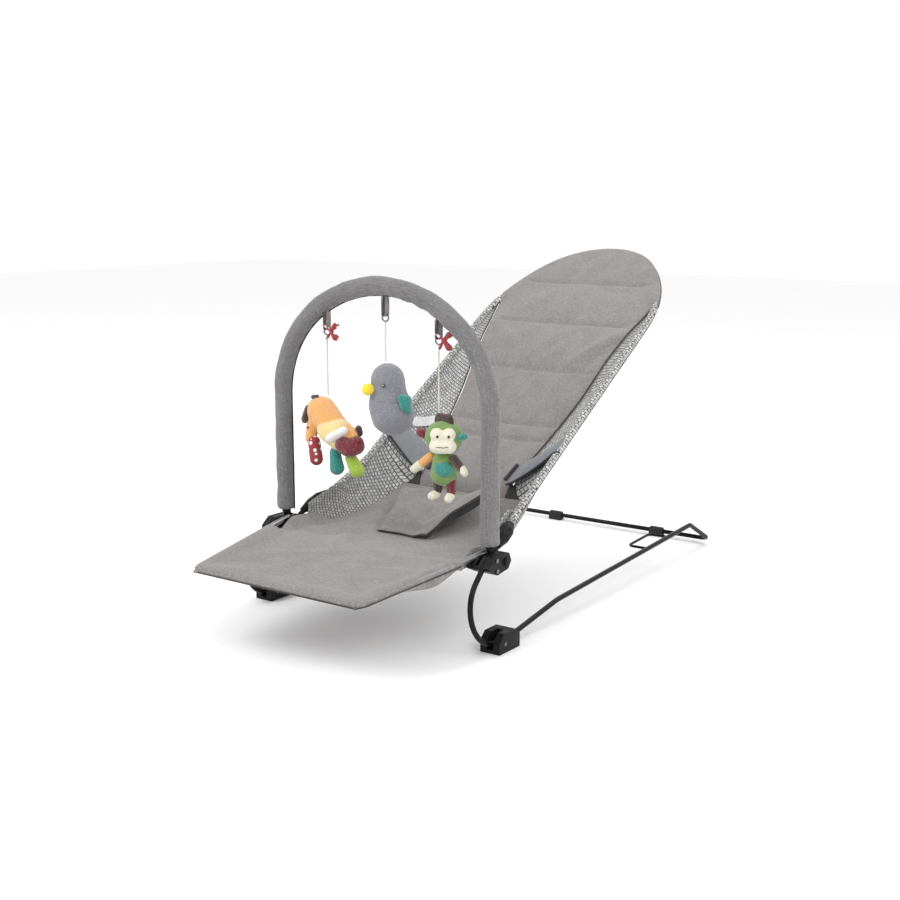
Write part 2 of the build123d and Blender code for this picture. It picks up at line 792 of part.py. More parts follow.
def arch_clip(side):
    """Eye on the hinge pin, a neck, and the spigot that the arch tube slides onto."""
    half = eye_thickness / 2
    x = side * hinge_x
    collar_z = arch_bottom_z - collar_drop
    with BuildPart() as clip:
        cross_pin(x - half, x + half, hinge_y, hinge_z, eye_d / 2)
        with BuildSketch(side_plane(x)):
            with BuildLine():
                Polyline(
                    (hinge_y - 6.0, hinge_z),
                    (hinge_y + 6.0, hinge_z),
                    (hinge_y - 2.0, collar_z),
                    (arch_y - 5.0, collar_z),
                    close=True,
                )
            make_face()
        extrude(amount=half, both=True)
        with Locations((x, arch_y, collar_z)):
            Cylinder(arch_tube_d / 2 + 1.0, collar_thickness, align=(Align.CENTER, Align.CENTER, Align.MIN))
            Cylinder(spigot_d / 2, spigot_length, align=(Align.CENTER, Align.CENTER, Align.MIN))
        cross_pin(x - half, x + half, hinge_y, hinge_z, hinge_pin_d / 2 + running, Mode.SUBTRACT)
    return clip


for name, side in SIDES:
    save(arch_clip(side), f"arch_clip_{name}")


def arch_centre_z(x):
    """Height of the arch's centre line above x."""
    if abs(x) <= arch_end[0]:
        centre = arch_straight_z + arch_rise - arch_crown_radius
        return centre + sqrt(arch_crown_radius**2 - x**2)
    side_radius = oval_side_radius(hinge_x, arch_rise, arch_crown_radius)
    return arch_straight_z + sqrt(side_radius**2 - (abs(x) - hinge_x + side_radius) ** 2)


def tab_eye_z(x):
    return arch_centre_z(x) - arch_sleeve_d / 2 - tab_length + tab_eye_up


def arch_tab(x):
    """Folded ribbon sewn under the arch, with an eye for the toy's ring."""
    eye = tab_eye_z(x)
    top = arch_centre_z(x)
    with BuildPart() as tab:
        with Locations((x, arch_y, (eye + top) / 2)):
            Box(tab_thickness, tab_width, top - eye)
        cross_pin(x - tab_thickness / 2, x + tab_thickness / 2, arch_y, eye, tab_width / 2)
        cross_pin(x - tab_thickness / 2, x + tab_thickness / 2, arch_y, eye, tab_eye_radius, Mode.SUBTRACT)
        add(arch_sleeve.part, mode=Mode.SUBTRACT)
        kept = tab.solids().sort_by(Axis.Z)[0]
    with BuildPart() as lower:
        add(kept)
    return lower



def toy_ring(x):
    """Wire ring through the tab's eye."""
    eye = tab_eye_z(x)
    with BuildPart() as ring:
        with Locations(Location((x, arch_y, eye - ring_radius), (90, 0, 0))):
            Torus(ring_radius, ring_wire_d / 2)
    return ring


def bow(x):
    """Tied fabric bow in front of the tab and beside it: two loops and a knot."""
    y = arch_y - tab_width / 2 - 1.5
    z = tab_eye_z(x)
    with BuildPart() as tied:
        for lift in (-12.0, 2.0):
            capsule((x + 13.0, y, z - 4.0), (x + 18.0, y, z + lift), 4.0)
        capsule((x + 1.0, y, z + 3.0), (x + 13.0, y, z - 4.0), 3.0)
    return tied


for name, x in TABS.items():
    save(arch_tab(x), f"arch_tab_{name}")
    save(toy_ring(x), f"toy_ring_{name}")
for name in ("left", "right"):
    save(bow(TABS[name]), f"bow_{name}")


# ---------------------------------------------------------------- toys

def string_top(name):
    """Where the toy's string starts, just below its ring."""
    x = TABS[name]
    return Vector(x, arch_y, tab_eye_z(x) - 2 * ring_radius - ring_wire_d / 2 - slot_gap)


def string_end(name):
    return string_top(name) - Vector(0, 0, string_lengths[name])


for name in TABS:
    with BuildPart() as string:
        with Locations(string_end(name)):
            Cylinder(string_d / 2, string_lengths[name], align=(Align.CENTER, Align.CENTER, Align.MIN))
    save(string, f"toy_string_{name}")


def toy_point(name, across, forward, down):
    """A point of a hanging toy, from the end of its string."""
    end = string_end(name)
    return (end.X + across, end.Y - forward, end.Z - down)


def toy_part(piece_name, toy, limbs, balls=()):
    """One sewn piece of a toy from round-ended limbs and balls."""
    with BuildPart() as piece:
        for start, end, radius in limbs:
            capsule(toy_point(toy, *start), toy_point(toy, *end), radius)
        for centre, radius in balls:
            with Locations(toy_point(toy, *centre)):
                Sphere(radius)
    return save(piece, piece_name)


# Bird: a pear-shaped body with a ball beak and two stubby wings
toy_part("bird_body", "centre", [((6, 0, 24), (10, 0, 62), 23.5)], [((8, 0, 62), 31.0)])
toy_part("bird_beak", "centre", [], [((-9, 27, 34), 8.0)])
toy_part("bird_wings", "centre", [((-26, 4, 46), (-26, 4, 62), 8.0), ((43, 4, 46), (43, 4, 68), 8.0)])

# Dog: a long body lying on the string, its head low on the right
toy_part("dog_body", "left", [((-12, 0, 20), (22, 2, 46), 22.0)])
toy_part("dog_muzzle", "left", [((46, 10, 58), (60, 12, 62), 14.0)])
toy_part("dog_ears", "left", [((-28, 6, 18), (-34, 8, 30), 6.0), ((60, 4, 36), (62, 4, 42), 5.0)])
toy_part("dog_legs", "left", [((-14, 14, 52), (-10, 16, 78), 9.0), ((22, 12, 72), (26, 14, 92), 9.0),
                              ((46, 8, 80), (56, 8, 96), 9.0)])

# Monkey: head, hat and ears over a small body with four limbs
toy_part("monkey_head", "right", [((4, 0, 30), (12, 0, 30), 21.0)])
toy_part("monkey_hat", "right", [((2, 0, 7), (14, 0, 7), 6.5)])
toy_part("monkey_ears", "right", [((-24, 0, 28), (-20, 0, 28), 7.5), ((36, 0, 28), (40, 0, 28), 7.0)])
toy_part("monkey_body", "right", [((8, 0, 66), (8, 0, 74), 18.0)])
toy_part("monkey_arms", "right", [((-14, 4, 58), (-34, 6, 74), 6.5), ((28, 4, 56), (44, 6, 68), 6.0)])
toy_part("monkey_legs", "right", [((-2, 0, 86), (-4, 0, 104), 6.5), ((18, 0, 86), (18, 0, 104), 6.5)])
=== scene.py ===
import json
import math

import bmesh
import bpy
from bpy.props import FloatProperty, FloatVectorProperty, PointerProperty
from mathutils import Matrix, Vector, noise


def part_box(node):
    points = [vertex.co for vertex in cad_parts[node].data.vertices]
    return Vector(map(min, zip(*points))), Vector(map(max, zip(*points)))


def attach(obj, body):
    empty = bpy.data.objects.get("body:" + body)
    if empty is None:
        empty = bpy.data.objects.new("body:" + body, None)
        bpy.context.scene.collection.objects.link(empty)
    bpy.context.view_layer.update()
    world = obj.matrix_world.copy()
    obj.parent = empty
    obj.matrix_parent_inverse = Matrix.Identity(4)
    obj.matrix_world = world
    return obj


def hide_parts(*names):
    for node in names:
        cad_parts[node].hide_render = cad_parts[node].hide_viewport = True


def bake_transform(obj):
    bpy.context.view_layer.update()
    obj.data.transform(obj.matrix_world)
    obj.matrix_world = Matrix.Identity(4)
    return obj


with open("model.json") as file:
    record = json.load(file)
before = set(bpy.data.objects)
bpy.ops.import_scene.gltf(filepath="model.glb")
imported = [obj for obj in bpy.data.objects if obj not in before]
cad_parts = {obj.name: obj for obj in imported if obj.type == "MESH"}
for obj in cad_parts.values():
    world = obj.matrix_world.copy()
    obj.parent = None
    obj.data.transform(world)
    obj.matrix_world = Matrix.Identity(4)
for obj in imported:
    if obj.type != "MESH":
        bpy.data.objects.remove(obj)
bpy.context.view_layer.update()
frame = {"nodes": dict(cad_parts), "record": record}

bl_info = {
    "name": "Baby bouncer seat",
    "version": (1, 0, 0),
    "blender": (4, 5, 0),
    "location": "3D View > Sidebar > Bouncer",
    "description": "Fabric, toy arch, plush toys and finishes of a reclining baby bouncer",
    "category": "Object",
}

SIDES = (("left", -1), ("right", 1))

# ---------------------------------------------------------------- the frame's lines, in metres
WRAP = 0.0053  # from a rod's centre to the outside of the fabric round it
BACK_ORIGIN = Vector((0, -0.099, 0.152))
BACK_SLOPE = math.radians(31.6)
ALONG = Vector((0, math.cos(BACK_SLOPE), math.sin(BACK_SLOPE)))
OFF = Vector((0, -math.sin(BACK_SLOPE), math.cos(BACK_SLOPE)))
BACK_X = 0.146
STRAIGHT = 0.400
HEAD_DEPTH = 0.197
CROWN_RADIUS = 0.112
ARM_START = Vector((0.163, -0.176, 0.123))
HIP = Vector((0.151, -0.118, 0.147))
LEG_ORIGIN = Vector((0, -0.417, 0.098))
LEG_SLOPE = math.radians(5.7)
ARCH_Y = -0.207
SLING = ((0.050, -0.053), (0.055, -0.048), (0.066, -0.0395), (0.076, -0.036), (0.160, -0.033),
        (0.250, -0.024),
         (0.330, -0.007), (0.400, -0.001), (0.6, -0.001))
COVER_LOW = 0.050  # distance along the back where its cover starts, under the seat cloth's rear
PANEL = ((-0.182, 0.106), (-0.120, 0.109), (-0.060, 0.125), (-0.025, 0.144))
PAD_EDGE = ((0.060, 0.0745), (0.076, 0.077), (0.386, 0.126), (0.455, 0.1393))
TABS = {"left": -0.090, "centre": 0.008, "right": 0.092}
STRING_LENGTHS = {"left": 0.080, "centre": 0.050, "right": 0.085}


def on_back(x, along, lift=0.0):
    """A point of the back: x across, distance up from the seat bend, lift off its plane."""
    return Vector((x, 0, 0)) + BACK_ORIGIN + ALONG * along + OFF * lift


def straight_at(table, t):
    """Value at t on the straight runs through (t, value) pairs."""
    if t <= table[0][0]:
        return table[0][1]
    for (a, va), (b, vb) in zip(table, table[1:]):
        if t <= b:
            return va + (vb - va) * (t - a) / (b - a)
    return table[-1][1]


def smooth_at(table, t):
    """Value at t on the smooth line through (t, value) pairs."""
    if t <= table[0][0]:
        return table[0][1]
    for i, ((a, va), (b, vb)) in enumerate(zip(table, table[1:])):
        if t <= b:
            before = table[max(i - 1, 0)]
            after = table[min(i + 2, len(table) - 1)]
            s = (t - a) / (b - a)
            ma = (vb - before[1]) / (b - before[0]) * (b - a)
            mb = (after[1] - va) / (after[0] - a) * (b - a)
            return ((2 * s**3 - 3 * s**2 + 1) * va + (s**3 - 2 * s**2 + s) * ma
                    + (3 * s**2 - 2 * s**3) * vb + (s**3 - s**2) * mb)
    return table[-1][1]


def ease(t):
    """0 below 0, 1 above 1, and smooth between."""
    t = min(max(t, 0.0), 1.0)
    return t * t * (3 - 2 * t)


def head_reach(angle, grow=0.0):
    """Distance from the middle of the head curve's base to the curve, grown outwards."""
    rise = HEAD_DEPTH - CROWN_RADIUS
    crown = CROWN_RADIUS + grow
    half = BACK_X + grow
    side = (half**2 + rise**2 - crown**2) / (2 * (half - crown))
    centre = half - side
    turn = math.atan2(rise, -centre)
    join = math.atan2(side * math.sin(turn), centre + side * math.cos(turn))
    if angle < join:
        near = math.cos(angle) * centre
        return near + math.sqrt(near**2 + side**2 - centre**2)
    near = math.sin(angle) * rise
    return near + math.sqrt(near**2 + crown**2 - rise**2)


def rod_point(y):
    """Centre line of the right-hand back rod where it passes y."""
    waist = on_back(BACK_X, 0.046)
    for a, b in ((ARM_START, HIP), (HIP, waist)):
        if y <= b.y:
            return a.lerp(b, (y - a.y) / (b.y - a.y))
    along = (y - BACK_ORIGIN.y) / math.cos(BACK_SLOPE)
    if along <= STRAIGHT:
        return on_back(BACK_X, along)
    up = along - STRAIGHT
    angle = math.atan2(up, BACK_X)
    for _ in range(3):
        reach = head_reach(angle)
        angle = math.asin(min(up / reach, 1.0))
    return on_back(head_reach(angle) * math.cos(angle), along)


def mesh_inner(y):
    """Lower edge of the right-hand mesh wall where it passes y."""
    if y <= -0.025:
        return Vector((leg_half_width(y) - 0.002, y, smooth_at(PANEL, y) - 0.004))
    along = (y - BACK_ORIGIN.y) / math.cos(BACK_SLOPE)
    for _ in range(10):
        along = (y - BACK_ORIGIN.y + smooth_at(SLING, along) * math.sin(BACK_SLOPE)) / math.cos(BACK_SLOPE)
    low = on_back(straight_at(PAD_EDGE, along) + 0.001, along, smooth_at(SLING, along) - 0.003)
    lap = 1 - ease((y + 0.025) / 0.016)
    low.x += 0.022 * (1 - ease((y + 0.025) / 0.006))
    low.z += (0.137 - low.z) * lap
    return Vector((low.x, y, low.z))


def eye_z(name):
    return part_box("toy_ring_" + name)[1].z - 0.001


def string_end(name):
    return Vector((TABS[name], ARCH_Y, eye_z(name) - 0.0113 - STRING_LENGTHS[name]))


def toy_point(toy, across, forward, down):
    """A point of a hanging toy in millimetres from the end of its string."""
    return string_end(toy) + Vector((across, -forward, -down)) * 0.001


# ---------------------------------------------------------------- sizes and colours
def length_prop(name, text, value, low=0.0, high=0.05):
    return FloatProperty(name=name, description=text, default=value, min=low, max=high,
                         unit="LENGTH", subtype="DISTANCE", precision=4)


def colour_prop(name, text, value):
    return FloatVectorProperty(name=name, description=text, default=value, size=3, min=0, max=1,
                               subtype="COLOR")


class BouncerSizes(bpy.types.PropertyGroup):
    cover_thickness: length_prop("Cover thickness", "Quilted fabric and wadding of the back", 0.008)
    cloth_face: length_prop("Cloth face", "Size of the faces that cloth is modelled with", 0.0062)
    swell: length_prop("Swell", "Furthest that wadding may push the cloth out", 0.006)
    channel: length_prop("Channel height", "Crown of the back between two quilting seams", 0.0028)
    seam: length_prop("Seam depth", "How far a quilting seam pulls the cloth in", 0.0022)
    piping: length_prop("Piping", "Radius of the dark piping round the covers", 0.0008)
    knit: length_prop("Knit thickness", "Thickness of the mesh walls", 0.0024)
    stitch: length_prop("Stitch length", "Length of one sewn stitch", 0.0032)
    string_d: length_prop("String diameter", "Diameter of the strings that the toys hang on", 0.002)
    pressure: FloatProperty(name="Wadding pressure", description="Pressure of the cloth simulation",
                            default=4.0, min=0, max=20)


class BouncerColours(bpy.types.PropertyGroup):
    melange: colour_prop("Melange grey", "Main fabric", (0.262, 0.245, 0.240))
    melange_light: colour_prop("Melange light", "Light fibres of the main fabric", (0.42, 0.40, 0.385))
    sleeve: colour_prop("Arch grey", "Fabric round the toy arch", (0.185, 0.180, 0.185))
    knit_light: colour_prop("Knit light", "Ribs of the mesh walls", (0.62, 0.62, 0.605))
    # The knit's dark colour is painted shade, seen in the holes and hollows of the mesh walls.
    knit_hollow_shade: colour_prop("Knit dark", "Holes of the mesh walls", (0.075, 0.075, 0.077))
    webbing: colour_prop("Webbing", "Waist straps", (0.185, 0.20, 0.215))
    # Also the colour of the black pieces that stand for painted shade in gaps, slots and under the flap.
    lining: colour_prop("Lining", "Black lining and piping", (0.012, 0.012, 0.013))
    bow: colour_prop("Bow red", "Dotted cotton", (0.40, 0.012, 0.02))
    orange: colour_prop("Orange plush", "Dog and one arm of the monkey", (0.86, 0.42, 0.13))
    pale: colour_prop("Pale yellow plush", "Dog's collar", (0.87, 0.68, 0.30))
    cream: colour_prop("Cream plush", "Monkey's face, hands and feet", (0.80, 0.76, 0.60))
    white: colour_prop("White plush", "Dog's band", (0.88, 0.87, 0.83))
    maroon: colour_prop("Maroon plush", "Dog's snout", (0.16, 0.004, 0.012))
    brown: colour_prop("Brown plush", "Ears and hat", (0.045, 0.020, 0.012))
    teal: colour_prop("Teal plush", "Wing, belly and leg", (0.015, 0.24, 0.20))
    lime: colour_prop("Lime plush", "Dog's leg", (0.36, 0.52, 0.05))
    green: colour_prop("Green plush", "Monkey", (0.17, 0.30, 0.065))
    grey: colour_prop("Grey plush", "Bird", (0.215, 0.215, 0.25))
    yellow: colour_prop("Yellow plush", "Beak", (0.90, 0.72, 0.01))
    floor: colour_prop("Floor", "Studio floor", (0.95, 0.95, 0.95))


def sizes():
    return bpy.context.scene.bouncer_sizes


def colours():
    return bpy.context.scene.bouncer_colours


# ---------------------------------------------------------------- modelling helpers
def deselect():
    if bpy.context.object and bpy.context.object.mode != "OBJECT":
        bpy.ops.object.mode_set(mode="OBJECT")
    bpy.ops.object.select_all(action="DESELECT")


def pick(*objs):
    deselect()
    for o in objs:
        o.select_set(True)
    bpy.context.view_layer.objects.active = objs[0]


def named(name):
    obj = bpy.context.object
    obj.name = name
    obj.data.name = name
    return obj


def settle(obj):
    """Puts the place, turn and size of the object into its mesh."""
    pick(obj)
    bpy.ops.object.transform_apply(location=True, rotation=True, scale=True)
    return obj


def select_where(test, faces=False):
    """In edit mode, selects the vertices, or the faces, that pass the test."""
    mesh = bmesh.from_edit_mesh(bpy.context.object.data)
    bpy.ops.mesh.select_all(action="DESELECT")
    if faces:
        for f in mesh.faces:
            f.select_set(test(f))
    else:
        for v in mesh.verts:
            v.select_set(test(v.co))
    mesh.select_flush_mode()
    bmesh.update_edit_mesh(bpy.context.object.data)


def modify(obj, kind, **settings):
    """Adds a modifier with these settings and applies it."""
    pick(obj)
    m = obj.modifiers.new(kind.title(), kind)
    for key, value in settings.items():
        setattr(m, key, value)
    bpy.ops.object.modifier_apply(modifier=m.name)
    return obj


def smooth_shade(obj, degrees=50):
    pick(obj)
    bpy.ops.object.shade_smooth_by_angle(angle=math.radians(degrees))
    return obj


def outward(obj):
    """Merges doubles and turns the faces outwards."""
    pick(obj)
    bpy.ops.object.mode_set(mode="EDIT")
    bpy.ops.mesh.select_all(action="SELECT")
    bpy.ops.mesh.remove_doubles(threshold=1e-5)
    bpy.ops.mesh.normals_make_consistent(inside=False)
    bpy.ops.object.mode_set(mode="OBJECT")
    return obj


def slab(name, columns, rows):
    """A closed cloth block of even quads: x from -1 to 1, y from 0 to 1, z 0 on top and -1 below."""
    deselect()
    bpy.ops.mesh.primitive_grid_add(x_subdivisions=columns, y_subdivisions=rows, size=2)
    obj = named(name)
    bpy.ops.object.mode_set(mode="EDIT")
    bpy.ops.mesh.select_all(action="SELECT")
    bpy.ops.transform.resize(value=(1, 0.5, 1))
    bpy.ops.transform.translate(value=(0, 0.5, 0))
    bpy.ops.mesh.extrude_region_move(TRANSFORM_OT_translate={"value": (0, 0, -1)})
    bpy.ops.mesh.select_all(action="SELECT")
    bpy.ops.mesh.normals_make_consistent(inside=False)
    bpy.ops.object.mode_set(mode="OBJECT")
    return obj


def lay(obj, place, width, length):
    """Lays a slab: each vertex goes to place(across, up, depth). The UV map is the flat cloth in metres."""
    flat = [(v.co.x * width / 2, v.co.y * length) for v in obj.data.vertices]
    layer = obj.data.uv_layers.active or obj.data.uv_layers.new(name="UVMap")
    for loop in obj.data.loops:
        layer.data[loop.index].uv = flat[loop.vertex_index]
    for v in obj.data.vertices:
        v.co = place(*v.co)
    obj.data.update()
    return obj


def puff(obj, held, pressure, travel, frames=20):
    """Blows a closed piece up by cloth simulation. Held vertices stay, and none moves further than travel."""
    group = obj.vertex_groups.new(name="held")
    group.add(held, 1.0, "REPLACE")
    rest = [v.co.copy() for v in obj.data.vertices]
    pick(obj)
    cloth = obj.modifiers.new("Cloth", "CLOTH")
    settings = cloth.settings
    settings.vertex_group_mass = "held"
    settings.use_pressure = True
    settings.uniform_pressure_force = pressure
    settings.effector_weights.gravity = 0
    settings.quality = 4
    for f in range(1, frames + 1):
        bpy.context.scene.frame_set(f)
    bpy.ops.object.modifier_apply(modifier=cloth.name)
    for v, start in zip(obj.data.vertices, rest):
        move = v.co - start
        if move.length > travel:
            v.co = start + move.normalized() * travel
    obj.vertex_groups.clear()
    bpy.context.scene.frame_set(1)
    return obj


def crease(x, y, start, end, width, height):
    """Height at (x, y) of a soft fold that runs from start to end and fades at both."""
    a, b = Vector(start), Vector(end)
    run = b - a
    share = (Vector((x, y)) - a).dot(run) / run.length_squared
    if not -0.15 < share < 1.15:
        return 0.0
    away = (Vector((x, y)) - a - run * share).length
    fade = ease((share + 0.15) / 0.4) * ease((1.15 - share) / 0.4)
    return height * fade * math.exp(-(away / width) ** 2)


def tube(name, points, radius, sides=8, cyclic=False):
    """A round cord of mesh along points."""
    curve = bpy.data.curves.new(name, "CURVE")
    curve.dimensions = "3D"
    spline = curve.splines.new("POLY")
    spline.points.add(len(points) - 1)
    for p, place in zip(spline.points, points):
        p.co = (*place, 1)
    spline.use_cyclic_u = cyclic
    curve.bevel_depth = radius
    curve.bevel_resolution = max(sides // 4 - 1, 0) + 1
    curve.use_fill_caps = not cyclic
    obj = bpy.data.objects.new(name, curve)
    bpy.context.scene.collection.objects.link(obj)
    pick(obj)
    bpy.ops.object.convert(target="MESH")
    obj = outward(named(name))
    return smooth_shade(obj)


def soft_copy(node, name, voxel):
    """A remeshed copy of a CAD node's shape to model soft surfaces on."""
    source = frame["nodes"][node]
    obj = bpy.data.objects.new(name, source.data.copy())
    obj.data.name = name
    bpy.context.scene.collection.objects.link(obj)
    obj.data.materials.clear()
    outward(obj)
    return modify(obj, "REMESH", mode="VOXEL", voxel_size=voxel)


def limb(start, end, thick, thin=None, flat=1.0):
    """A round-ended stuffed limb: a ball whose upper half is resized and drawn out. Millimetre radii."""
    run = end - start
    r0, r1 = thick * 0.001, (thin or thick) * 0.001
    deselect()
    bpy.ops.mesh.primitive_uv_sphere_add(segments=20, ring_count=12, radius=r0)
    obj = bpy.context.object
    bpy.ops.object.mode_set(mode="EDIT")
    select_where(lambda co: co.z > 1e-6)
    bpy.ops.transform.resize(value=(r1 / r0,) * 3, center_override=(0, 0, 0))
    bpy.ops.transform.translate(value=(0, 0, run.length))
    bpy.ops.object.mode_set(mode="OBJECT")
    turn = run.to_track_quat("Z", "Y").to_matrix().to_4x4() if run.length > 1e-6 else Matrix.Identity(4)
    obj.matrix_world = Matrix.Translation(start) @ turn @ Matrix.Diagonal((1, flat, 1, 1))
    return settle(obj)


def ball(place, radii):
    """An ellipsoid lump, its radii in millimetres."""
    deselect()
    bpy.ops.mesh.primitive_uv_sphere_add(segments=20, ring_count=12, radius=0.001, location=place,
            scale=radii)
    return settle(bpy.context.object)


def sewn(name, lumps, voxel=0.0022, rounds=5):
    """Joins lumps into one stuffed skin, remeshed and smoothed."""
    pick(*lumps)
    if len(lumps) > 1:
        bpy.ops.object.join()
    obj = named(name)
    modify(obj, "REMESH", mode="VOXEL", voxel_size=voxel)
    modify(obj, "SMOOTH", factor=0.6, iterations=rounds)
    for v in obj.data.vertices:
        v.co += v.normal * noise.noise(v.co * 420) * 0.0003
    modify(obj, "SUBSURF", levels=1, render_levels=1)
    return smooth_shade(obj, 80)


def bead(name, place, radius):
    """A glossy eye, a little flattened."""
    deselect()
    bpy.ops.mesh.primitive_uv_sphere_add(segments=20, ring_count=14, radius=radius * 0.001, location=place)
    obj = named(name)
    bpy.ops.object.mode_set(mode="EDIT")
    bpy.ops.mesh.select_all(action="SELECT")
    bpy.ops.transform.resize(value=(1, 0.75, 1), center_override=place)
    bpy.ops.object.mode_set(mode="OBJECT")
    return smooth_shade(settle(obj), 80)


def stitches(name, points, normal_of, length, radius=0.00042):
    """A row of sewn stitches on a line of points."""
    deselect()
    bpy.ops.mesh.primitive_cylinder_add(vertices=6, radius=radius, depth=length * 0.72)
    model = bpy.context.object
    bpy.ops.object.mode_set(mode="EDIT")
    bpy.ops.mesh.select_all(action="SELECT")
    bpy.ops.mesh.bevel(offset=radius * 0.5, segments=1)
    bpy.ops.object.mode_set(mode="OBJECT")
    made, gone = [], 0.0
    for a, b in zip(points, points[1:]):
        run = b - a
        while gone < run.length:
            copy = model.copy()
            copy.data = model.data.copy()
            bpy.context.scene.collection.objects.link(copy)
            copy.matrix_world = (Matrix.Translation(a + run.normalized() * gone + normal_of(a))
                                 @ run.to_track_quat("Z", "Y").to_matrix().to_4x4())
            made.append(copy)
            gone += length
        gone -= run.length
    bpy.data.objects.remove(model)
    pick(*made)
    bpy.ops.object.join()
    return smooth_shade(settle(named(name)), 60)


def finish_piece(obj, material, body, slot=None, *nodes):
    """Gives a piece its material, lets it ride, and hides the CAD nodes that it stands for."""
    obj.data.materials.clear()
    obj.data.materials.append(material)
    if body:
        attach(obj, body)
    if nodes:
        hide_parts(*nodes)
    return obj


# ---------------------------------------------------------------- shader building blocks
def node(tree, kind, inputs=None, **settings):
    """Adds a shader node; an input is given a value, or is linked where it is given a socket."""
    made = tree.nodes.new("ShaderNode" + kind)
    for key, value in settings.items():
        setattr(made, key, value)
    for key, value in (inputs or {}).items():
        if isinstance(value, bpy.types.NodeSocket):
            tree.links.new(value, made.inputs[key])
        else:
            made.inputs[key].default_value = value
    return made


def mixed(tree, factor, a, b, blend="MIX"):
    """Colour a to colour b by factor."""
    return node(tree, "Mix", {0: factor, 6: a, 7: b}, data_type="RGBA", blend_type=blend).outputs[2]


def sum_of(tree, operation, a, b):
    return node(tree, "Math", {0: a, 1: b}, operation=operation).outputs[0]


def ranged(tree, value, low, high, to_low=0.0, to_high=1.0):
    return node(tree, "MapRange", {"Value": value, "From Min": low, "From Max": high,
                                   "To Min": to_low, "To Max": to_high}).outputs[0]


def shared(name, ins, outs):
    """A shader group with named inputs (kind, name, default) and outputs (kind, name)."""
    tree = bpy.data.node_groups.new(name, "ShaderNodeTree")
    for kind, label, value in ins:
        socket = tree.interface.new_socket(name=label, in_out="INPUT", socket_type="NodeSocket" + kind)
        if value is not None:
            socket.default_value = value
    for kind, label in outs:
        tree.interface.new_socket(name=label, in_out="OUTPUT", socket_type="NodeSocket" + kind)
    entry = tree.nodes.new("NodeGroupInput")
    exit_node = tree.nodes.new("NodeGroupOutput")
    return tree, entry.outputs, exit_node.inputs


def weave_group():
    """Two-tone yarn: light and dark fibres, slubs and the over-and-under of the threads, with painted shade where
    the threads dip.
    """
    tree, i, o = shared("Melange weave", [("Vector", "Vector", None),
            ("Color", "Colour", (0.3, 0.3, 0.3, 1)),
                                          ("Color", "Fibre", (0.5, 0.5, 0.5, 1)),
                                          ("Float", "Thread", 0.0011)],
                        [("Color", "Colour"), ("Float", "Height")])
    per = sum_of(tree, "DIVIDE", 0.314, i["Thread"])
    warp = node(tree, "TexWave", {"Vector": i["Vector"], "Scale": per, "Distortion": 0.6},
            bands_direction="X")
    weft = node(tree, "TexWave", {"Vector": i["Vector"], "Scale": per, "Distortion": 0.6},
            bands_direction="Y")
    threads = sum_of(tree, "MULTIPLY", warp.outputs["Fac"], weft.outputs["Fac"])
    along = node(tree, "Mapping", {"Vector": i["Vector"], "Scale": (160, 950, 500)})
    across = node(tree, "Mapping", {"Vector": i["Vector"], "Scale": (950, 160, 500)})
    fibre_a = node(tree, "TexNoise", {"Vector": along.outputs[0], "Scale": 1.0, "Detail": 4.0})
    fibre_b = node(tree, "TexNoise", {"Vector": across.outputs[0], "Scale": 1.0, "Detail": 4.0})
    fibre = sum_of(tree, "MAXIMUM", fibre_a.outputs["Fac"], fibre_b.outputs["Fac"])
    fleck = ranged(tree, fibre, 0.50, 0.72)
    shade = node(tree, "TexNoise", {"Vector": i["Vector"], "Scale": 26.0, "Detail": 5.0})
    tone = mixed(tree, ranged(tree, shade.outputs["Fac"], 0.3, 0.7, 0.0, 0.34), i["Colour"],
            (0.10, 0.095, 0.095, 1))
    # Painted shade: the colour darkens towards near-black where the threads dip between crossings.
    dark = mixed(tree, ranged(tree, threads, 0.0, 0.5, 0.42, 0.0), tone, (0.06, 0.058, 0.058, 1))
    tree.links.new(mixed(tree, sum_of(tree, "MULTIPLY", fleck, 0.55), dark, i["Fibre"]), o["Colour"])
    tree.links.new(sum_of(tree, "ADD", threads, sum_of(tree, "MULTIPLY", fibre, 0.7)), o["Height"])
    return tree


def plush_group():
    """Short pile: tufts that part, with painted shade at the roots between them and a painted sheen on the raised
    clumps.
    """
    tree, i, o = shared("Plush pile", [("Vector", "Vector", None), ("Color", "Colour", (0.5, 0.5, 0.5, 1))],
                        [("Color", "Colour"), ("Float", "Height")])
    tufts = node(tree, "TexNoise", {"Vector": i["Vector"], "Scale": 1500.0, "Detail": 2.0})
    clumps = node(tree, "TexNoise", {"Vector": i["Vector"], "Scale": 430.0, "Detail": 3.0})
    # Painted shade: darker where the tufts dip to their roots.
    roots = ranged(tree, tufts.outputs["Fac"], 0.30, 0.62, 0.55, 0.0)
    dark = mixed(tree, roots, i["Colour"], mixed(tree, 0.65, i["Colour"], (0, 0, 0, 1)))
    # Painted sheen: the raised clumps are mixed towards white.
    pale = mixed(tree, 0.18, i["Colour"], (1, 1, 1, 1))
    tree.links.new(mixed(tree, ranged(tree, clumps.outputs["Fac"], 0.5, 0.75, 0.0, 0.5), dark, pale),
            o["Colour"])
    tree.links.new(sum_of(tree, "ADD", tufts.outputs["Fac"], clumps.outputs["Fac"]), o["Height"])
    return tree


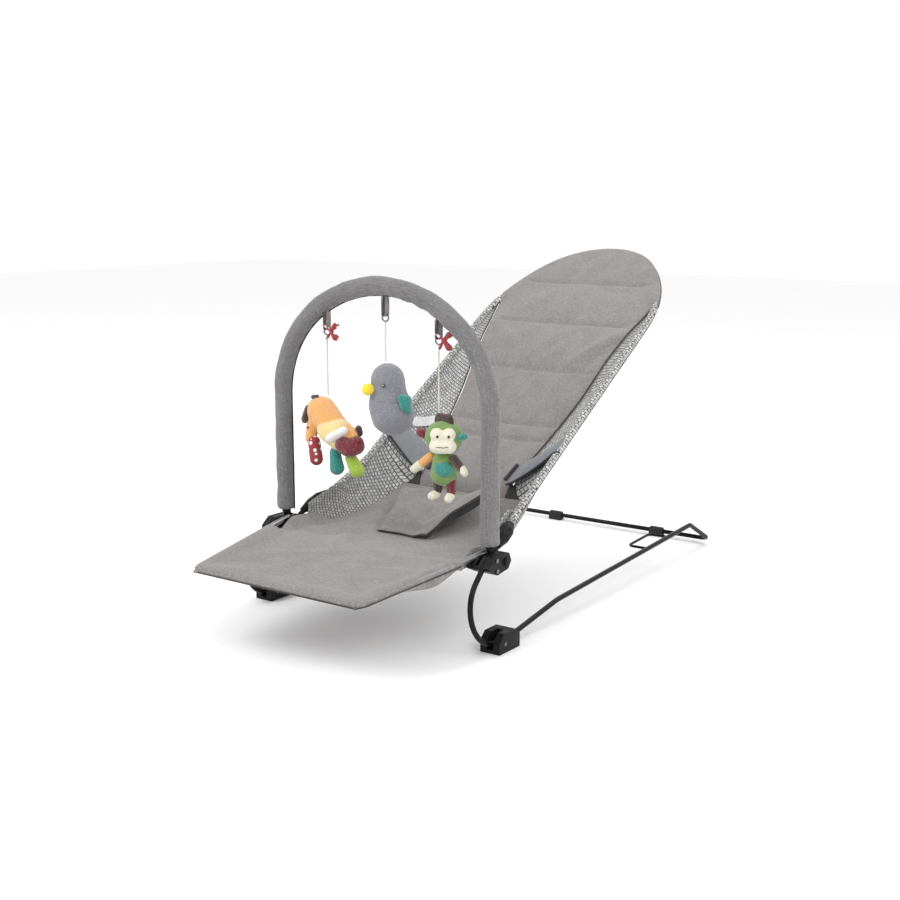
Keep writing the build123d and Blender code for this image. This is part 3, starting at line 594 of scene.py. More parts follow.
def scuff_group():
    """Handling marks and fine dust: a mask for worn places and a roughness that wanders."""
    tree, i, o = shared("Scuffs and dust", [("Vector", "Vector", None), ("Float", "Low", 0.3),
            ("Float", "High", 0.5)],
                        [("Float", "Mask"), ("Float", "Roughness"), ("Float", "Height")])
    broad = node(tree, "TexNoise", {"Vector": i["Vector"], "Scale": 55.0, "Detail": 6.0})
    grain = node(tree, "TexNoise", {"Vector": i["Vector"], "Scale": 1800.0, "Detail": 2.0})
    scratch = node(tree, "Mapping", {"Vector": i["Vector"], "Scale": (30, 30, 900)})
    lines = node(tree, "TexNoise", {"Vector": scratch.outputs[0], "Scale": 1.0, "Detail": 3.0})
    worn = ranged(tree, sum_of(tree, "MULTIPLY", broad.outputs["Fac"], lines.outputs["Fac"]), 0.37, 0.50)
    tree.links.new(worn, o["Mask"])
    wander = node(tree, "MapRange", {"Value": broad.outputs["Fac"], "From Min": 0.3, "From Max": 0.7,
                                     "To Min": i["Low"], "To Max": i["High"]})
    tree.links.new(wander.outputs[0], o["Roughness"])
    tree.links.new(grain.outputs["Fac"], o["Height"])
    return tree


def use_group(tree, name, inputs):
    builders = {"Melange weave": weave_group, "Plush pile": plush_group, "Scuffs and dust": scuff_group}
    group = bpy.data.node_groups.get(name) or builders[name]()
    made = tree.nodes.new("ShaderNodeGroup")
    made.node_tree = group
    for key, value in inputs.items():
        if isinstance(value, bpy.types.NodeSocket):
            tree.links.new(value, made.inputs[key])
        else:
            made.inputs[key].default_value = value
    return made.outputs


def start_material(name, roughness=0.8, **plain):
    """A material with its Principled shader; plain values go straight onto the shader's sockets."""
    mat = bpy.data.materials.new(name)
    mat.use_nodes = True
    tree = mat.node_tree
    shader = tree.nodes["Principled BSDF"]
    shader.inputs["Roughness"].default_value = roughness
    for key, value in plain.items():
        shader.inputs[key.replace("_", " ")].default_value = value
    place = node(tree, "TexCoord").outputs
    return mat, tree, shader, place


def bumped(tree, shader, height, distance, strength=0.6):
    bump = node(tree, "Bump", {"Height": height, "Distance": distance, "Strength": strength})
    tree.links.new(bump.outputs[0], shader.inputs["Normal"])


def cloth_material(name, colour, fibre, flat=True, thread=0.0011):
    mat, tree, shader, place = start_material(name, 0.94, Sheen_Weight=0.22, Sheen_Roughness=0.5,
            Specular_IOR_Level=0.25)
    out = use_group(tree, "Melange weave", {"Vector": place["UV" if flat else "Object"],
            "Colour": (*colour, 1),
                                            "Fibre": (*fibre, 1), "Thread": thread})
    tree.links.new(out["Colour"], shader.inputs["Base Color"])
    bumped(tree, shader, out["Height"], 0.0003, 0.55)
    return mat


def plush_material(name, colour):
    mat, tree, shader, place = start_material(name, 0.97, Sheen_Weight=0.35, Sheen_Roughness=0.6,
            Specular_IOR_Level=0.2)
    out = use_group(tree, "Plush pile", {"Vector": place["Object"], "Colour": (*colour, 1)})
    tree.links.new(out["Colour"], shader.inputs["Base Color"])
    bumped(tree, shader, out["Height"], 0.0008, 0.7)
    return mat


def knit_material(name, flat=True):
    """Spacer knit: upright ribs of pale stitches; the holes between them and the knit's low spots are painted dark
    as shade.
    """
    c = colours()
    mat, tree, shader, place = start_material(name, 0.85, Specular_IOR_Level=0.3)
    turn = node(tree, "Mapping", {"Vector": place["UV" if flat else "Object"],
                                  "Rotation": (0, 0, 0) if flat else (-BACK_SLOPE, 0, 0)})
    # Painted shade: the mortar between the stitches is the dark seen through the knit's holes.
    stitches_node = node(tree, "TexBrick", {
        "Vector": turn.outputs[0], "Color1": (*c.knit_light, 1), "Color2": (0.40, 0.40, 0.39, 1),
        "Mortar": (*c.knit_hollow_shade, 1), "Scale": 1.0, "Mortar Size": 0.00070, "Mortar Smooth": 0.5,
        "Brick Width": 0.0062, "Row Height": 0.0050}, offset=0.5)
    hollow_noise = node(tree, "TexNoise", {"Vector": turn.outputs[0], "Scale": 420.0, "Detail": 2.0})
    # Painted shade: the low spots of the noise, which the bump sinks, are darkened.
    tone = mixed(tree, ranged(tree, hollow_noise.outputs["Fac"], 0.34, 0.50, 0.7, 0.0),
            stitches_node.outputs["Color"],
                 (*c.knit_hollow_shade, 1))
    tree.links.new(tone, shader.inputs["Base Color"])
    height = sum_of(tree, "SUBTRACT", hollow_noise.outputs["Fac"], stitches_node.outputs["Fac"])
    bumped(tree, shader, height, 0.0007, 0.8)
    return mat


def webbing_material(name, colour):
    """Smooth narrow webbing with a fine diagonal twill, whose grooves are darkened as painted shade."""
    mat, tree, shader, place = start_material(name, 0.62, Sheen_Weight=0.15)
    twill = node(tree, "TexWave", {"Vector": place["UV"], "Scale": 240.0, "Distortion": 0.3},
            bands_direction="DIAGONAL")
    shade = node(tree, "TexNoise", {"Vector": place["UV"], "Scale": 60.0, "Detail": 4.0})
    base = mixed(tree, ranged(tree, shade.outputs["Fac"], 0.3, 0.7, 0.0, 0.3), (*colour, 1),
            (0.08, 0.085, 0.09, 1))
    # Painted shade: darker in the twill's grooves, where the bump is low.
    tree.links.new(mixed(tree, ranged(tree, twill.outputs["Fac"], 0.0, 1.0, 0.25, 0.0), base,
            (0.03, 0.03, 0.03, 1)),
                   shader.inputs["Base Color"])
    bumped(tree, shader, twill.outputs["Fac"], 0.0002, 0.5)
    return mat


def hard_material(name, colour, low, high, bump=0.00006, worn=(0.08, 0.08, 0.085), **plain):
    """Paint, moulding, rubber or steel: grain, wandering gloss and lighter scuffs."""
    mat, tree, shader, place = start_material(name, 0.4, **plain)
    out = use_group(tree, "Scuffs and dust", {"Vector": place["Object"], "Low": low, "High": high})
    tree.links.new(mixed(tree, out["Mask"], (*colour, 1), (*worn, 1)), shader.inputs["Base Color"])
    tree.links.new(out["Roughness"], shader.inputs["Roughness"])
    bumped(tree, shader, out["Height"], bump, 0.5)
    return mat


def dotted_material(name, colour):
    """Cotton printed with small white dots."""
    mat, tree, shader, place = start_material(name, 0.85, Sheen_Weight=0.1)
    dots = node(tree, "TexVoronoi", {"Vector": place["Object"], "Scale": 135.0, "Randomness": 0.35})
    mask = ranged(tree, dots.outputs["Distance"], 0.30, 0.36, 1.0, 0.0)
    out = use_group(tree, "Melange weave", {"Vector": place["Object"], "Colour": (*colour, 1),
                                            "Fibre": (*colour, 1), "Thread": 0.0006})
    tree.links.new(mixed(tree, mask, out["Colour"], (0.85, 0.83, 0.80, 1)), shader.inputs["Base Color"])
    bumped(tree, shader, out["Height"], 0.0002, 0.5)
    return mat


def string_material(name):
    """Two-ply twisted cotton string, pale, darkened in the grooves of its twist as painted shade."""
    mat, tree, shader, place = start_material(name, 0.8, Sheen_Weight=0.2)
    ply = node(tree, "TexWave", {"Vector": place["Object"], "Scale": 190.0, "Distortion": 1.2},
            bands_direction="DIAGONAL")
    # Painted shade: the dark bands follow the grooves of the twist, where the bump is low.
    tree.links.new(mixed(tree, ply.outputs["Fac"], (0.42, 0.40, 0.36, 1), (0.78, 0.76, 0.70, 1)),
            shader.inputs["Base Color"])
    bumped(tree, shader, ply.outputs["Fac"], 0.0004, 0.8)
    return mat


def gloss_material(name, colour):
    """Polished bead: dark, with a little wander in its gloss."""
    mat, tree, shader, place = start_material(name, 0.12, Coat_Weight=0.5)
    fleck = node(tree, "TexNoise", {"Vector": place["Object"], "Scale": 300.0})
    tree.links.new(mixed(tree, ranged(tree, fleck.outputs["Fac"], 0.3, 0.7, 0.0, 0.3), (*colour, 1),
            (0.03, 0.02, 0.02, 1)),
                   shader.inputs["Base Color"])
    return mat


def floor_material():
    mat, tree, shader, place = start_material("Studio floor", 0.9)
    grain = node(tree, "TexNoise", {"Vector": place["Object"], "Scale": 6.0, "Detail": 5.0})
    base = (*colours().floor, 1)
    tree.links.new(mixed(tree, ranged(tree, grain.outputs["Fac"], 0.3, 0.7, 0.0, 0.1), base,
            (0.90, 0.90, 0.90, 1)),
                   shader.inputs["Base Color"])
    return mat


def finishes():
    """The object's materials by name, each made once."""
    c = colours()
    makers = {
        "Melange fabric": lambda n: cloth_material(n, c.melange, c.melange_light),
        "Melange round": lambda n: cloth_material(n, c.melange, c.melange_light, flat=False),
        "Arch fabric": lambda n: cloth_material(n, c.sleeve, (0.30, 0.295, 0.30), flat=False),
        "Black lining": lambda n: cloth_material(n, c.lining, (0.05, 0.05, 0.052), flat=False,
        thread=0.0008),
        "Spacer knit": knit_material,
        "Knit hem": lambda n: knit_material(n, flat=False),
        "Strap webbing": lambda n: webbing_material(n, c.webbing),
        "Black wire paint": lambda n: hard_material(n, (0.004, 0.004, 0.0045), 0.22, 0.34, 0.00004,
        (0.02, 0.02, 0.021),
                                                    Specular_IOR_Level=0.16),
        "Moulded black": lambda n: hard_material(n, (0.006, 0.006, 0.0065), 0.38, 0.6, 0.00012,
        (0.025, 0.025, 0.026),
                                                 Specular_IOR_Level=0.18),
        "Black rubber": lambda n: hard_material(n, (0.012, 0.012, 0.012), 0.7, 0.9, 0.0001,
        (0.05, 0.05, 0.05)),
        "Zinc steel": lambda n: hard_material(n, (0.17, 0.17, 0.175), 0.25, 0.42, 0.00004,
        (0.12, 0.12, 0.125), Metallic=1.0),
        "Frame steel": lambda n: hard_material(n, (0.33, 0.33, 0.34), 0.35, 0.55, 0.00004, (0.2, 0.2, 0.2),
        Metallic=1.0),
        "Arch plastic": lambda n: hard_material(n, (0.25, 0.25, 0.25), 0.4, 0.6, 0.00008,
        (0.35, 0.35, 0.35)),
        "Dotted red cotton": lambda n: dotted_material(n, c.bow),
        "Toy string": string_material,
        "Eye black": lambda n: gloss_material(n, (0.006, 0.005, 0.005)),
        "Blank label": lambda n: cloth_material(n, (0.80, 0.80, 0.78), (0.9, 0.9, 0.9), flat=False,
        thread=0.0007),
        "Sewing thread": lambda n: cloth_material(n, (0.36, 0.345, 0.335), (0.5, 0.48, 0.47), flat=False,
        thread=0.0006),
        **{f"Plush {k}": (lambda n, k=k: plush_material(n, getattr(c, k)))
           for k in ("orange", "pale", "cream", "white", "maroon", "brown", "teal", "lime", "green", "grey",
                   "yellow")},
    }
    return makers


def finish_of(name):
    return bpy.data.materials.get(name) or finishes()[name](name)


# ---------------------------------------------------------------- stage and camera
class BOUNCER_OT_stage(bpy.types.Operator):
    """Floor, soft studio light and the camera"""
    bl_idname = "bouncer.stage"
    bl_label = "Stage and camera"

    def execute(self, context):
        scene = context.scene
        deselect()
        bpy.ops.mesh.primitive_plane_add(size=14, location=(0, 0, -0.0005))
        floor = settle(named("studio_floor"))
        floor.data.materials.append(floor_material())
        world = bpy.data.worlds.new("Studio")
        world.use_nodes = True
        background = world.node_tree.nodes["Background"]
        background.inputs[0].default_value = (1, 1, 1, 1)
        background.inputs[1].default_value = 1.0
        scene.world = world
        scene.view_settings.view_transform = "Standard"
        for place, size, power in (((-1.3, -1.7, 2.3), 1.8, 34), ((1.9, -0.6, 1.5), 1.6, 16),
                ((0.2, 1.6, 2.0), 1.4, 12)):
            bpy.ops.object.light_add(type="AREA", location=place)
            light = context.object
            light.data.shape = "DISK"
            light.data.size = size
            light.data.energy = power
            light.rotation_mode = "QUATERNION"
            light.rotation_quaternion = (Vector((0, 0, 0.2)) - Vector(place)).to_track_quat("-Z", "Y")
        azimuth, elevation = math.radians(35.38), math.radians(11.02)
        back = Vector((math.sin(azimuth) * math.cos(elevation), -math.cos(azimuth) * math.cos(elevation),
                       math.sin(elevation)))
        bpy.ops.object.camera_add(location=(1.04556, -1.52582, 0.55758))
        camera = context.object
        camera.data.lens = 52.57
        camera.data.sensor_width = 36
        camera.rotation_mode = "QUATERNION"
        camera.rotation_quaternion = (-back).to_track_quat("-Z", "Y")
        scene.camera = camera
        return {"FINISHED"}


# ---------------------------------------------------------------- strings
class BOUNCER_OT_strings(bpy.types.Operator):
    """Strings that the toys hang on, from their rings down to the toys"""
    bl_idname = "bouncer.strings"
    bl_label = "Toy strings"

    def execute(self, context):
        for name, toy in (("left", "dog"), ("centre", "bird"), ("right", "monkey")):
            end = string_end(name)
            length = STRING_LENGTHS[name]
            top = end + Vector((0, 0, length))
            curve = bpy.data.curves.new("string_" + name, "CURVE")
            curve.dimensions = "3D"
            spline = curve.splines.new("NURBS")
            places = (top, top - Vector((0, 0, 0.012)), top - Vector((0.0004, 0, length * 0.55)), end)
            spline.points.add(len(places) - 1)
            for point, place in zip(spline.points, places):
                point.co = (*place, 1)
            spline.order_u = 3
            spline.use_endpoint_u = True
            curve.bevel_depth = sizes().string_d / 2
            curve.bevel_resolution = 3
            curve.use_fill_caps = True
            obj = bpy.data.objects.new("string_" + name, curve)
            context.scene.collection.objects.link(obj)
            finish_piece(obj, finish_of("Toy string"), toy, "string_white", "toy_string_" + name)
        return {"FINISHED"}


# ---------------------------------------------------------------- leg cloth
LEG_ROWS = ((-0.4223, 0.1005), (-0.405, 0.1000), (-0.36, 0.1018), (-0.31, 0.1050), (-0.262, 0.1075),
        (-0.235, 0.1085),
            (-0.210, 0.1072), (-0.182, 0.1060), (-0.120, 0.1090), (-0.060, 0.1250), (-0.025, 0.1440))
LEG_FOLDS = (((-0.06, -0.40), (-0.02, -0.30), 0.010, 0.0018), ((0.02, -0.36), (0.11, -0.33), 0.008, 0.0016),
             ((-0.09, -0.33), (0.00, -0.27), 0.011, 0.0022), ((0.03, -0.30), (0.13, -0.27), 0.008, -0.0018),
             ((-0.12, -0.23), (-0.05, -0.18), 0.013, -0.0045),
             ((-0.10, -0.17), (-0.03, -0.235), 0.012, 0.0040),
             ((0.06, -0.24), (0.14, -0.21), 0.010, -0.003), ((-0.13, -0.30), (-0.10, -0.22), 0.010, 0.0022),
             ((0.00, -0.25), (0.08, -0.26), 0.009, 0.0022), ((-0.09, -0.13), (-0.02, -0.10), 0.011, 0.003))


def leg_half_width(y):
    """Half of the leg cloth's width: round the rods in front, inside the hinge housings behind."""
    rods = 0.130 + 0.033 * (y - LEG_ORIGIN.y) / 0.205 + WRAP
    inside = 0.1515 if y < -0.182 else 0.1505 + (0.103 - 0.1505) * (y + 0.182) / 0.157
    return rods + (inside - rods) * ease((y + 0.252) / 0.011)


def leg_cloth_place(across, up, depth):
    """The leg and seat cloth, one sheet from the foot rod to the lap over the back's cover."""
    y = -0.4223 + up * 0.3973
    half = leg_half_width(y)
    edge = (1 - abs(across)) * half
    wrapped = 1 - ease((y + 0.256) / 0.012)
    front = y + 0.4223
    rim = min(edge, front)
    x = across * half
    corner = max(0.0, 0.010 - edge) * max(0.0, 0.010 - front) * 40
    x -= math.copysign(corner, across) * 0.6
    y += corner * 0.6
    plane = LEG_ORIGIN.z + (y - LEG_ORIGIN.y) * math.tan(LEG_SLOPE)
    middle = smooth_at(LEG_ROWS, y) - 0.0015 * (1 - across * across)
    over = 1 - ease((rim - 0.009) / 0.028)
    top = middle + (plane + 0.0050 - middle) * over * wrapped
    thick = 0.0082 + (0.0102 - 0.0082) * over * wrapped
    sag = ease((y + 0.365) / 0.07) * (1 - ease((y + 0.300) / 0.058))
    droop = 0.012 * sag * (1 - ease((edge - 0.010) / 0.045)) * wrapped
    for start, end, width, height in LEG_FOLDS:
        top += crease(x, y, start, end, width, height) * ease((rim - 0.006) / 0.02)
    top += noise.noise(Vector((x * 34, y * 26, 2.0))) * 0.0016 * ease(rim / 0.03)
    rise = 0.018 * ease((y + 0.246) / 0.028) * (1 - ease((y + 0.178) / 0.03)) * (1 - ease(edge / 0.020))
    top += rise
    thick += rise
    if rim < 0.003 and (wrapped > 0.5):
        top -= 0.0016
        thick = 0.0070
    return Vector((x, y, top + depth * (thick + droop)))


class BOUNCER_OT_leg_cloth(bpy.types.Operator):
    """Cloth of the leg rest and seat, wrapped round the leg rods"""
    bl_idname = "bouncer.leg_cloth"
    bl_label = "Leg cloth"

    def execute(self, context):
        face = sizes().cloth_face
        columns, rows = round(0.30 / face), round(0.397 / face)
        obj = lay(slab("leg_cloth", columns, rows), leg_cloth_place, 0.30, 0.397)
        held = [v.index for v in obj.data.vertices
                if leg_half_width(v.co.y) - abs(v.co.x) < 0.026
                or v.co.y < -0.408 or v.co.y > -0.031 or abs(v.co.y + 0.205) < 0.006]
        puff(obj, held, sizes().pressure * 0.7, sizes().swell * 0.2)
        modify(obj, "SUBSURF", levels=1, render_levels=1)
        smooth_shade(obj, 70)
        finish_piece(obj, finish_of("Melange fabric"), None, "fabric_grey", "leg_pad", "seat_panel")
        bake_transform(obj)
        line = [Vector((-leg_half_width(y) - 0.0002, y,
                        LEG_ORIGIN.z + (y - LEG_ORIGIN.y) * math.tan(LEG_SLOPE) - 0.0028))
                for y in (-0.256, -0.30, -0.36, -0.410)]
        line.append(Vector((-0.1305, -0.4222, 0.0948)))
        line += [Vector((-p.x, p.y, p.z)) for p in reversed(line)]
        finish_piece(tube("leg_piping", line, sizes().piping), finish_of("Black lining"), "seat",
                "fabric_grey")
        return {"FINISHED"}


# ---------------------------------------------------------------- back cover
SEAMS = (0.165, 0.196, 0.301, 0.402, 0.505)
BACK_FOLDS = (((-0.120, 0.398), (-0.035, 0.330), 0.010, 0.0040),
        ((-0.105, 0.392), (-0.075, 0.310), 0.012, -0.0035),
              ((0.050, 0.306), (0.118, 0.390), 0.008, 0.0038),
              ((0.085, 0.306), (0.122, 0.372), 0.007, -0.0030),
              ((-0.02, 0.205), (-0.01, 0.285), 0.008, 0.0022), ((0.045, 0.21), (0.055, 0.28), 0.007, 0.0020),
              ((-0.06, 0.22), (-0.085, 0.29), 0.009, 0.0025), ((0.00, 0.31), (0.04, 0.36), 0.008, 0.0018),
              ((-0.05, 0.10), (0.03, 0.14), 0.009, 0.0026))


def cover_reach(angle):
    """From the head's base centre to the cover's edge: the mesh's edge low down, round the rod higher up."""
    outer = head_reach(angle, WRAP)
    if angle > 0.6:
        return outer
    inner = 0.1287 / (math.cos(angle) - 0.1927 * math.sin(angle))
    return inner + (outer - inner) * ease((inner * math.sin(angle) - 0.048) / 0.020)


def cover_flat(across, up):
    """Where a point of the cover lies on the back's plane, and its distance in from the wrapped edge."""
    share = 0.64
    if up <= share:
        along = COVER_LOW + up / share * (STRAIGHT - COVER_LOW)
        half = straight_at(PAD_EDGE, along)
        return across * half, along, 1.0
    v = (up - share) / (1 - share)
    a = across * math.sqrt(1 - v * v / 2)
    b = v * math.sqrt(1 - across * across / 2)
    out = min(math.hypot(a, b), 1.0)
    angle = math.atan2(0.2023 * b, 0.1287 * abs(a))
    reach = cover_reach(angle)
    wrapped = ease((reach * math.sin(angle) - 0.048) / 0.020) if angle < 0.6 else 1.0
    inward = (1 - out) * reach
    x = math.copysign(out * reach * math.cos(angle), a)
    return x, STRAIGHT + out * reach * math.sin(angle), inward + (1 - wrapped) * 0.05


def channel_height(along):
    """Crown of the wadding between two quilting seams."""
    for a, b in zip((COVER_LOW, *SEAMS), (*SEAMS, 0.60)):
        if a <= along <= b:
            return min(1.0, (b - a) / 0.06) * math.sin(math.pi * (along - a) / (b - a)) ** 0.7
    return 0.0


def back_cover_place(across, up, depth):
    """The quilted cover, which wraps the rod round the head."""
    x, along, inward = cover_flat(across, up)
    s = sizes()
    crown = channel_height(along) * s.channel * (1 - abs(across) ** 6)
    middle = smooth_at(SLING, along) + crown * ease((along - COVER_LOW - 0.010) / 0.03)
    middle -= 0.0035 * (1 - across * across) * (1 - ease((along - 0.36) / 0.12))
    over = 1 - ease((inward - 0.008) / 0.030)
    top = middle + (0.0050 - middle) * over
    thick = s.cover_thickness + (0.0100 - s.cover_thickness) * over
    for start, end, width, height in BACK_FOLDS:
        top += crease(x, along, start, end, width, height) * (1 - over)
    top += noise.noise(Vector((x * 30, along * 26, 5.0))) * 0.0014 * (1 - over)
    if inward < 0.0005:
        top, thick = 0.0037, 0.0074
    return on_back(x, along, top + depth * thick)


def back_frame_of(place):
    """Across, along and lift of a point on the back."""
    far = place - BACK_ORIGIN
    return far.x, far.dot(ALONG), far.dot(OFF)


class BOUNCER_OT_back_cover(bpy.types.Operator):
    """Quilted cover of the back and head, with its seams, stitches and piping"""
    bl_idname = "bouncer.back_cover"
    bl_label = "Back cover"

    def execute(self, context):
        s = sizes()
        columns, rows = round(0.29 / s.cloth_face), round(0.54 / s.cloth_face)
        obj = lay(slab("back_cover", columns, rows), back_cover_place, 0.29, 0.54)
        held = []
        for v in obj.data.vertices:
            x, along, lift = back_frame_of(v.co)
            out = Vector((x, along - STRAIGHT))
            near_rim = along > STRAIGHT and cover_reach(math.atan2(out.y, abs(x))) - out.length < 0.014
            side = along <= STRAIGHT and straight_at(PAD_EDGE, along) - abs(x) < 0.007
            seam = min(abs(along - m) for m in SEAMS) < 0.0034
            if near_rim or side or seam or along < 0.078:
                held.append(v.index)
        puff(obj, held, s.pressure, s.swell)
        modify(obj, "SUBSURF", levels=1, render_levels=1)
        for v in obj.data.vertices:
            x, along, lift = back_frame_of(v.co)
            near = min(abs(along - m) for m in SEAMS)
            if near < 0.009 and v.normal.dot(OFF) > 0.3:
                edge = ease((straight_at(PAD_EDGE, along) - abs(x)) / 0.012) if along < STRAIGHT else \
                    ease((cover_reach(math.atan2(along - STRAIGHT, abs(x))) - Vector((x,
                            along - STRAIGHT)).length - 0.008) / 0.02)
                v.co -= OFF * s.seam * math.exp(-(near / 0.0035) ** 2) * edge
        smooth_shade(obj, 70)
        finish_piece(obj, finish_of("Melange fabric"), "back", "fabric_grey", "back_pad")
        self.sew(obj)
        return {"FINISHED"}

    def sew(self, obj):
        s = sizes()
        rows = []
        for m in SEAMS:
            half = straight_at(PAD_EDGE, m) - 0.006 if m < STRAIGHT else 0.118
            line = []
            for k in range(41):
                start = on_back(-half + 2 * half * k / 40, m, 0.05)
                hit, place, _, _ = obj.ray_cast(start, -OFF)
                if hit:
                    line.append(place)
            rows.append(stitches(f"seam_row_{len(rows)}", line, lambda _: OFF * 0.0002, s.stitch * 1.3))
        pick(*rows)
        bpy.ops.object.join()
        finish_piece(named("quilting_stitches"), finish_of("Sewing thread"), "back", "fabric_grey")
        for name, side in SIDES:
            edge = []
            for k in range(46):
                along = 0.072 + k * (0.447 - 0.072) / 45
                x = straight_at(PAD_EDGE, along) + 0.0002
                edge.append(on_back(side * x, along, smooth_at(SLING, along) + 0.0004))
            piping = tube("pad_piping_" + name, edge, s.piping * 1.25)
            finish_piece(piping, finish_of("Black lining"), "back", "fabric_grey")
        rim = []
        for k in range(61):
            angle = math.radians(20 + 140 * k / 60)
            mirror = angle if angle <= math.pi / 2 else math.pi - angle
            reach = head_reach(mirror, WRAP + 0.0002)
            rim.append(on_back(reach * math.cos(angle), STRAIGHT + reach * math.sin(angle), -0.0012))
        finish_piece(tube("head_piping", rim, s.piping), finish_of("Black lining"), "back", "fabric_grey")


# ---------------------------------------------------------------- mesh walls
def mesh_row(y):
    """Upper and lower edge of the mesh wall where it passes y; in front it covers the moulded sleeve."""
    rod, low = rod_point(y), mesh_inner(y)
    run = low - rod
    skip = min(0.0050, run.length * 0.6)
    cuff = 1 - ease((y + 0.130) / 0.030)
    plain = rod + run.normalized() * skip
    return plain.lerp(rod + Vector((-0.0110, 0, 0.0125)), cuff), low


MESH_FRONT, MESH_BACK = -0.180, 0.284


class BOUNCER_OT_mesh_sides(bpy.types.Operator):
    """Knitted mesh walls between the back rods and the pads, with the hems round the rods"""
    bl_idname = "bouncer.mesh_sides"
    bl_label = "Mesh walls"

    def execute(self, context):
        for name, side in SIDES:
            self.gap_shade(name, side)

            def wall_place(across, up, depth, side=side):
                y = MESH_FRONT + up * (MESH_BACK - MESH_FRONT)
                top, low = mesh_row(y)
                share = (across + 1) / 2
                run = low - top
                out = Vector((0, 1, 0)).cross(run).normalized() * -1
                bow = 0.004 * math.sin(math.pi * share) * min(run.length / 0.05, 1)
                place = top + run * share + out * (bow - depth * sizes().knit)
                place += out * noise.noise(Vector((share * 3, y * 22, side))) * 0.0012
                return Vector((side * place.x, place.y, place.z))
            obj = slab("mesh_wall_" + name, 12, 84)
            rows = [mesh_row(MESH_FRONT + k / 50 * 0.442) for k in range(51)]
            lay(obj, wall_place, 0.070, 0.500)
            outward(obj)
            modify(obj, "SUBSURF", levels=1, render_levels=1)
            smooth_shade(obj, 70)
            finish_piece(obj, finish_of("Spacer knit"), "back", "mesh_knit", "mesh_side_" + name)
            self.hem(name, side)
        return {"FINISHED"}

    def gap_shade(self, name, side):
        """A black sheet in the corner between the seat cloth's rear, the wall and the pad: painted shade of the
        gap there.
        """
        def gap_shade_place(across, up, depth):
            x = 0.093 + 0.019 * across
            y = -0.0285 + 0.0140 * up
            return Vector((side * x, y, 0.1370 + 0.0240 * up - 0.0060 * (1 + across) * up + depth * 0.0015))
        obj = outward(lay(slab("lap_gap_shade_" + name, 8, 8), gap_shade_place, 0.038, 0.028))
        smooth_shade(obj, 60)
        finish_piece(obj, finish_of("Black lining"), "back", "mesh_knit")

    def hem(self, name, side):
        """The knit turned round the rod: the rod's own shape, cut to length and grown."""
        source = frame["nodes"]["back_frame"]
        obj = bpy.data.objects.new("rod_hem_" + name, source.data.copy())
        bpy.context.scene.collection.objects.link(obj)
        obj.data.materials.clear()
        outward(obj)
        bpy.ops.object.mode_set(mode="EDIT")
        bpy.ops.mesh.select_all(action="SELECT")
        bpy.ops.mesh.bisect(plane_co=(side * 0.02, 0, 0), plane_no=(side, 0, 0), clear_inner=True)
        bpy.ops.mesh.select_all(action="SELECT")
        bpy.ops.mesh.bisect(plane_co=(0, -0.136, 0), plane_no=(0, 1, 0.4), clear_inner=True)
        bpy.ops.mesh.select_all(action="SELECT")
        bpy.ops.mesh.bisect(plane_co=on_back(0, 0.452), plane_no=ALONG, clear_outer=True)
        bpy.ops.mesh.select_all(action="SELECT")
        bpy.ops.transform.shrink_fatten(value=0.0012)
        bpy.ops.object.mode_set(mode="OBJECT")
        smooth_shade(obj, 60)
        finish_piece(obj, finish_of("Knit hem"), "back", "mesh_knit")
        edge = []
        for k in range(40):
            y = -0.132 + k * (0.286 + 0.132) / 39
            rod = rod_point(y)
            edge.append(Vector((side * (rod.x + 0.0049), rod.y, rod.z - 0.0016)))
        finish_piece(tube("rod_piping_" + name, edge, sizes().piping), finish_of("Black lining"), "back",
                "mesh_knit")


# ---------------------------------------------------------------- harness
FLAP_LINE = ((-0.166, 0.1115), (-0.140, 0.1160), (-0.110, 0.1240), (-0.085, 0.1340), (-0.062, 0.1440))


def flap_place(across, up, depth):
    """The crotch flap: flat in front, its long edge on the right rolled up and over."""
    y = -0.166 + up * 0.104
    half = 0.038 + 0.040 * up
    x = across * half + 0.004 * (1 - up) * across
    roll = ease((across - 0.35) / 0.55) * (0.35 + 0.65 * ease(up / 0.5))
    top = smooth_at(FLAP_LINE, y) + 0.0035 + 0.017 * roll - 0.0045 * (1 - ease((up + 0.02) / 0.25))
    top += crease(x, y, (-0.055, -0.105), (0.03, -0.150), 0.010, 0.0030)
    top += crease(x, y, (-0.06, -0.075), (0.02, -0.085), 0.009, -0.0025)
    top += noise.noise(Vector((x * 40, y * 34, 9.0))) * 0.0016
    tuck = 0.010 * ease((across - 0.90) / 0.1) * (0.3 + 0.7 * up)
    thick = 0.0045 + 0.0125 * roll
    return Vector((x + tuck * depth, y, top + depth * thick))


class BOUNCER_OT_crotch_flap(bpy.types.Operator):
    """Padded crotch flap with its black lining, which also stands in for the shade under its rolled edge"""
    bl_idname = "bouncer.crotch_flap"
    bl_label = "Crotch flap"

    def execute(self, context):
        obj = lay(slab("crotch_flap_cover", 24, 19), flap_place, 0.13, 0.115)
        puff(obj, [v.index for v in obj.data.vertices if v.co.y > -0.068], sizes().pressure * 0.8, 0.0018)
        modify(obj, "SUBSURF", levels=1, render_levels=1)
        smooth_shade(obj, 70)
        finish_piece(obj, finish_of("Melange fabric"), "back", "fabric_grey", "crotch_flap")
        obj.data.materials.append(finish_of("Black lining"))
        # Faces that turn away from the top take the black: partly lining, partly painted shade under the rolled
        # edge.
        for face in obj.data.polygons:
            if face.normal.z < 0.45:
                face.material_index = 1
        edge = [flap_place(-1 + 2 * k / 20, 0.0, -0.5) + Vector((0, -0.0006, 0)) for k in range(21)]
        edge += [flap_place(1.0, k / 16, -0.15) + Vector((0.0005, 0, 0)) for k in range(1, 17)]
        finish_piece(tube("flap_piping", edge, sizes().piping), finish_of("Black lining"), "back",
                "fabric_grey")
        return {"FINISHED"}


